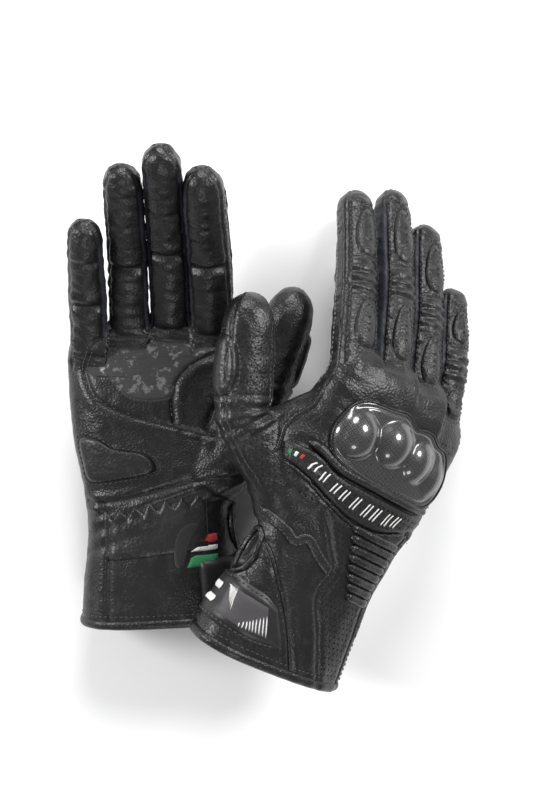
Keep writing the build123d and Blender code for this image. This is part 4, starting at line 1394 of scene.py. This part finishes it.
class GLOVES_OT_cuff(bpy.types.Operator):
    """Makes the cuff's rolled edge, the strap and its patch"""
    bl_idname = "gloves.cuff"
    bl_label = "Cuff and strap"

    def execute(self, context):
        builder, materials, sewing = WORK["builder"], WORK["materials"], WORK["sewing"]
        angles = np.linspace(0, 360, 96, endpoint=False)
        places, normals = round_cuff(np.column_stack([angles, np.full(96, CUFF_END + 1.2)]))
        flat = normals - np.outer(normals[:, 1], [0, 1, 0])
        places[:, 1] = CUFF_END + 0.6
        round_turn = np.linspace(0, 2 * math.pi, 12, endpoint=False)
        profile = np.column_stack([2.6 * np.cos(round_turn), 1.9 * np.sin(round_turn) - 0.6])
        edge = builder.place("cuff_binding", *strip(places, flat, profile, closed=True), materials["binding"],
                             "cuff", "edge_binding", levels=1)
        replace(edge, "cuff_edge")
        places, normals = round_cuff(np.column_stack([np.append(angles, 360), np.full(97, CUFF_END + 5.0)]))
        sewing.run("cuff", places, normals, 2.8)
        top = smooth_line(STRAP_TOP, 3)
        low = smooth_line(STRAP_LOW, 3)
        count = 44
        even = np.linspace(0, 1, count)
        top, low = (np.stack([np.interp(even, np.linspace(0, 1, len(line)), line[:, k]) for k in (0, 1)],
                             axis=1)
                    for line in (top, low))
        strap = builder.place("strap", *panel(round_cuff, low, top, 2.5, 13, 0.1, 9.0), materials["strap"],
                              "strap", "strap_rubber")
        replace(strap, "closure_strap")
        share = lambda t: low * (1 - t) + top * t
        builder.place(
            "strap_relief", *panel(lambda points: lifted(round_cuff(points), 1.9), share(0.15)[20:-4],
                                   share(0.85)[20:-4],
                                   0.9, 9, 0.1, 12.0), materials["relief"], "strap", "strap_rubber")
        marks = []

        def mark(path, width):
            places, normals = lifted(round_cuff(np.array(path)), 2.66)
            marks.append(strip(places, normals, half_round(width, 0.45, 0.3, 6), 1))

        def spot(t, i):
            line = share(t)
            return [np.interp(i, np.arange(count), line[:, k]) for k in (0, 1)]

        for t in (0.34, 0.66):
            mark([spot(t, i) for i in np.linspace(4, 15, 12)], 3.6)
        for k in range(9):
            mark([spot(t, 21.5 + 0.62 * k) for t in np.linspace(0.78 - 0.05 * k, 0.80, 5)], 0.55)
            mark([spot(t, 38 - 0.95 * k) for t in np.linspace(0.2, 0.62 - 0.045 * k, 5)], 0.6)
        builder.place("strap_bars", *merge(marks), materials["print"], "strap", "light_trim")
        for t in (0.05, 0.95):
            places, normals = round_cuff(share(t)[2:-3])
            sewing.run("strap", places, normals, 2.6, 0, 2.3)
        line = np.linspace(244, 210, 14)
        low, top = (np.column_stack([line, np.full(14, y)]) for y in (-49.3, -25.4))
        root = builder.place("strap_root", *panel(round_cuff, low, top, 2.3, 11, 0.6, 9.0),
                             materials["strap"],
                             "cuff", "strap_rubber")
        replace(root, "strap_root")
        tapes = {"red": ((-21, -13), (-30.5, -17.5)), "white": ((-19, -18.6), (-30.5, -21.4)),
                 "green": ((-17, -23.2), (-30.5, -29.5))}
        for tape, ((x0, y0), (x1, y1)) in tapes.items():
            low = np.column_stack([np.linspace(x0 + 3, x1, 8), np.full(8, min(y0, y1))])
            high = np.column_stack([np.linspace(x0, x1, 8), np.full(8, max(y0, y1))])
            builder.place(f"cuff_tape_{tape}", *panel(builder.skin.palm, low, high, 0.8, 6, 0.2),
                          materials[tape],
                          "cuff", "light_trim")
        line = np.linspace(146, 118, 12)
        low, top = (np.column_stack([line, np.full(12, y)]) for y in (-45.5, -29.0))
        patch = builder.place("loop_patch", *panel(round_cuff, low, top, 0.35, 7), materials["pile"], "cuff",
                              "hook_and_loop")
        replace(patch, "loop_patch")
        return {"FINISHED"}


class GLOVES_OT_palm(bpy.types.Operator):
    """Makes the palm's heel pad and grip panel"""
    bl_idname = "gloves.palm"
    bl_label = "Palm"

    def execute(self, context):
        builder, materials, sewing = WORK["builder"], WORK["materials"], WORK["sewing"]
        outline = smooth_line(HEEL_PAD, 2.4, True)
        slider = builder.place("heel_pad", *pillow(builder.skin.palm, outline[::-1], 2.7, power=6, rings=12),
                               materials["slider"], "hand", "smooth_leather", levels=1)
        replace(slider, "heel_slider")
        middle = outline.mean(0)
        for grow, lift in ((1.09, 0.12), (0.86, 2.2)):
            ring = middle + (np.concatenate([outline, outline[:1]]) - middle) * grow
            places, normals = builder.skin.palm(ring)
            sewing.run("hand", places, normals, 2.7, 0, lift)
        outline = smooth_line(GRIP_PANEL, 2.4, True)
        grip = builder.place("grip_panel", *pillow(builder.skin.palm, outline, 0.45, (4, 68), 12, 12),
                             materials["suede"], "hand", "grip_suede")
        replace(grip, "palm_grip")
        for name, line in PALM_SEAMS.items():
            line = smooth_line(line, 1.5)
            region = "cuff" if name == "cuff" else "hand"
            line = line[line[:, 1] < -6] if region == "cuff" else line[line[:, 1] > 8]
            if len(line) > 4:
                places, normals = builder.skin.palm(line)
                for aside in (-1.3, 1.3):
                    sewing.run(region, places, normals, 2.7, aside)
        return {"FINISHED"}


class GLOVES_OT_thumb(bpy.types.Operator):
    """Makes the thumb's slider and grip patch"""
    bl_idname = "gloves.thumb"
    bl_label = "Thumb"

    def execute(self, context):
        builder, materials, sewing = WORK["builder"], WORK["materials"], WORK["sewing"]
        digit, surface = DIGITS["thumb"], on_digit("thumb")
        radius = digit.radii[1]
        made = {}
        for name, angle, start, end, wide, height, finish in (
                ("thumb_slider", -72, 8, 38, 8.6, 2.2, "slider"),
                ("thumb_grip", 108, 14, 42, 8.0, 0.9, "dots")):
            outline = teardrop(digit.base + start, digit.base + end, wide, 0.3)
            outline[:, 0] += angle / 57.3 * radius
            made[name] = builder.place(name + "_pad", *pillow(surface, outline, height, power=5),
                                       materials[finish],
                                       "thumb_high", "armour_leather" if height > 1 else "grip_suede",
                                       levels=1)
            replace(made[name], name)
            middle = outline.mean(0)
            ring = middle + (np.concatenate([outline, outline[:1]]) - middle) * 1.14
            places, normals = surface(ring)
            sewing.run("thumb_high", places, normals, 2.6)
        for angle in (-53, 47):
            for region, s0, s1 in (("thumb_low", 12, 31), ("thumb_high", 31, digit.length - 12)):
                s = np.arange(s0, s1, 2.0)
                arc = np.full(len(s), angle / 57.3) * np.interp(s, [0, digit.base, digit.length], digit.radii)
                places, normals = surface(np.column_stack([arc, s]))
                sewing.run(region, places, normals, 2.7)
        return {"FINISHED"}


class GLOVES_OT_trim(bpy.types.Operator):
    """Makes the welts along the seams, the stitches and the punched holes, which are discs of painted shade
    """
    bl_idname = "gloves.trim"
    bl_label = "Seams and holes"

    def execute(self, context):
        builder, materials, sewing = WORK["builder"], WORK["materials"], WORK["sewing"]
        welts = {"hand": [], "wrist": []}
        for name in ("wrist_side", "wrist_mid", "outer"):
            line = smooth_line(BACK_SEAMS[name], 1.5)
            places, normals = builder.skin.back(line)
            if name != "wrist_mid":
                welts["wrist"].append(strip(places, normals, half_round(2.0, 1.1, 0.6, 8), 2))
            for aside in (-2.3, 2.3) if name == "wrist_mid" else (-2.6, 2.6):
                sewing.run("wrist", places, normals, 2.7, aside)
        for angle, kind in ((168, "welt"), (187, "pale")):
            places, normals = round_cuff([(angle, y) for y in np.linspace(37, 73, 24)])
            if kind == "welt":
                welts["hand"].append(strip(places, normals, half_round(2.2, 1.2, 0.6, 8), 2))
                sewing.run("hand", places, normals, 2.7, -2.4)
            else:
                sewing.run("hand", places, normals, 2.5, 0, kind="pale")
        index, surface = DIGITS["index"], on_digit("index")
        for part, s0, s1 in (("low", -9, index.base / 2), ("high", index.base / 2, index.length - 13)):
            s = np.linspace(s0, s1, 18)
            radius = np.interp(s, [0, index.base, index.length], index.radii)
            places, normals = surface(np.column_stack([np.radians(-72) * radius, s]))
            welts["index_" + part] = [strip(places, normals, half_round(1.8, 0.9, 0.6, 8), 2)]
            places, normals = surface(np.column_stack([np.radians(-98) * radius, s]))
            sewing.run("index_" + part, places, normals, 2.5, kind="pale")
        for region, parts in welts.items():
            builder.place(f"{region}_welts", *merge(parts), materials["binding"], region, "edge_binding")
        self.punch(builder, sewing)
        trees = {"stitch": scatter_tree("stitch"), "hole": scatter_tree("hole")}
        trees["pale"] = trees["stitch"]
        long, hole = sizes().stitch_length, sizes().hole_size
        looks = {"stitch": ((long, 0.6, 0.5), "thread", "thread"),
                 "pale": ((long, 0.6, 0.5), "pale", "thread"),
                 "hole": ((hole, hole, hole), "hole", "perforated_leather")}
        for (kind, region), rows in sewing.sets.items():
            places, normals, along = (np.concatenate([row[k] for row in rows]) for k in range(3))
            size, finish, slot = looks[kind]
            for glove in builder.gloves:
                here, ahead, over = glove.pose(places), glove.pose(places
                        + along * 0.5), glove.pose(places + normals)
                mesh = scatter(trees[kind], f"{glove.name}_{region}_{kind}_row", here,
                               unit(ahead - here), unit(over - here), size, materials[finish])
                mesh.materials.clear()
                builder.finish(mesh, glove, materials[finish], region, slot)
        return {"FINISHED"}

    def punch(self, builder, sewing):
        """Rows of holes, as discs of painted shade, over the back of the hand, the cuff and the thumb."""
        step = sizes().hole_spacing
        grid = np.array([(i * step + (j % 2) * step / 2, j * step * 0.87)
                         for i in range(-14, 15) for j in range(-20, 36)])
        outline = smooth_line(GUARD_OUTLINE, 3, True)
        keep = (np.abs(grid[:, 0]) < 37) & (grid[:, 1] > -52) & (grid[:, 1] < 78)
        for name, line in BACK_SEAMS.items():
            keep &= line_distance(grid, smooth_line(line, 3)) > 3.2
        middle = outline.mean(0)
        keep &= inside(grid, middle + (outline - middle) * 1.07) < 0.1
        on_roll = (grid[:, 1] > 36) & (grid[:, 1] < 48)
        left = np.interp(grid[:, 1], [-57, -33.9, -17.1, -2.3, 7.8, 14, 21.5, 24],
                         [22, 8, -2.6, -0.8, -8.8, -14, -21, -40])
        ribs = (grid[:, 1] > -14) & (grid[:, 1] < 24) & (grid[:, 0] > np.interp(grid[:, 1], [-11, 20],
                [9, -7]))
        keep &= ~on_roll & (grid[:, 0] > left + 2.5) & ~ribs
        grid = grid[keep]
        for region, part in (("hand", grid[:, 1] >= 8), ("wrist", grid[:, 1] < 8)):
            places, normals = builder.skin.back(grid[part])
            on_band = (grid[part][:, 1] > 24) & (grid[part][:, 1] < 41)
            places = places + normals * np.where(on_band, 0.86, 0.07)[:, None]
            sewing.add("hole", region, places, normals, np.tile([1.0, 0, 0], (part.sum(), 1)))
        digit, surface = DIGITS["thumb"], on_digit("thumb")
        grid = np.array([(i * step + (j % 2) * step / 2, j * step * 0.87) for i in range(-4,
                5) for j in range(2, 31)])
        keep = (np.abs(grid[:, 0]) < 10.0) & (np.abs(grid[:, 1] - digit.base) > 9) & (grid[:,
                1] < digit.length - 13)
        grid = grid[keep]
        for region, part in (("thumb_low", grid[:, 1] < 31), ("thumb_high", grid[:, 1] >= 31)):
            places, normals = surface(grid[part])
            sewing.add("hole", region, places + normals * 0.07, normals,
                       np.tile(digit.frame[:, 1], (part.sum(), 1)))


class GLOVES_OT_stage(bpy.types.Operator):
    """Sets the floor, the lights and the camera"""
    bl_idname = "gloves.stage"
    bl_label = "Stage"

    def execute(self, context):
        scene = context.scene
        mesh = new_mesh("floor", [(-3, -3, 0), (3, -3, 0), (3, 3, 0), (-3, 3, 0)], [(0, 1, 2, 3)])
        floor = bpy.data.objects.new("floor", mesh)
        scene.collection.objects.link(floor)
        mesh.materials.append(Finish("floor_paper", (0.94, 0.94, 0.94), 0.9).material)
        world = bpy.data.worlds.new("studio")
        world.use_nodes = True
        world.node_tree.nodes["Background"].inputs["Color"].default_value = (1, 1, 1, 1)
        world.node_tree.nodes["Background"].inputs["Strength"].default_value = sizes().room_light
        scene.world = world
        scene.view_settings.view_transform = "Standard"
        for name, place, size, power in LIGHTS:
            light = bpy.data.lights.new(name, "AREA")
            light.shape, light.size, light.energy = "DISK", size, power * sizes().light_power
            lamp = bpy.data.objects.new(name, light)
            lamp.location = place
            lamp.rotation_euler = (-Vector(place)).to_track_quat("-Z", "Y").to_euler()
            scene.collection.objects.link(lamp)
        wrist = Vector(JOINTS["glove_b_wrist"]["pos_m"])
        camera = bpy.data.cameras.new("camera")
        camera.sensor_fit, camera.sensor_width, camera.lens = "HORIZONTAL", 36, CAMERA_LENS
        camera.clip_start = 0.05
        holder = bpy.data.objects.new("camera", camera)
        holder.location = (wrist.x - 0.0265, wrist.y + 0.076, wrist.z - 0.055 + 0.62)
        scene.collection.objects.link(holder)
        scene.camera = holder
        return {"FINISHED"}


class GloveSizes(bpy.types.PropertyGroup):
    """Sizes that a maker would change, in millimetres"""
    mesh_step: FloatProperty(name="Mesh step", description="Edge of the leather's mesh faces",
                             default=0.95, min=0.7)
    stitch_length: FloatProperty(name="Stitch length", description="Length of one stitch", default=1.9,
                                 min=0.5)
    hole_size: FloatProperty(name="Hole size", description="Width of a punched hole", default=1.05, min=0.2)
    hole_spacing: FloatProperty(name="Hole spacing", description="Between punched holes in a row",
                                default=3.1, min=1)
    rib_count: IntProperty(name="Wrist ribs", description="Ribs over the wrist", default=8, min=3, max=14)
    light_power: FloatProperty(name="Light power", description="Factor on every studio light", default=1.0,
                               min=0)
    room_light: FloatProperty(name="Room light", description="Strength of the room's even light",
                              default=0.3, min=0)


OPERATORS = (GLOVES_OT_leather, GLOVES_OT_guard, GLOVES_OT_finger_pads, GLOVES_OT_wrist, GLOVES_OT_cuff,
             GLOVES_OT_palm, GLOVES_OT_thumb, GLOVES_OT_trim, GLOVES_OT_stage)


class GLOVES_PT_panel(bpy.types.Panel):
    """Lists the gloves' sizes and the steps that build them"""
    bl_idname = "GLOVES_PT_panel"
    bl_label = "Riding gloves"
    bl_space_type = "VIEW_3D"
    bl_region_type = "UI"
    bl_category = "Gloves"

    def draw(self, context):
        for name in GloveSizes.__annotations__:
            self.layout.prop(context.scene.glove_sizes, name)
        for operator in OPERATORS:
            self.layout.operator(operator.bl_idname)


CLASSES = (GloveSizes, *OPERATORS, GLOVES_PT_panel)


def register():
    for item in CLASSES:
        bpy.utils.register_class(item)
    bpy.types.Scene.glove_sizes = PointerProperty(type=GloveSizes)


def unregister():
    del bpy.types.Scene.glove_sizes
    for item in reversed(CLASSES):
        bpy.utils.unregister_class(item)


def main():
    register()
    for operator in OPERATORS:
        getattr(bpy.ops.gloves, operator.bl_idname.split(".")[1])()
    bpy.context.view_layer.update()


if __name__ == "__main__":
    main()
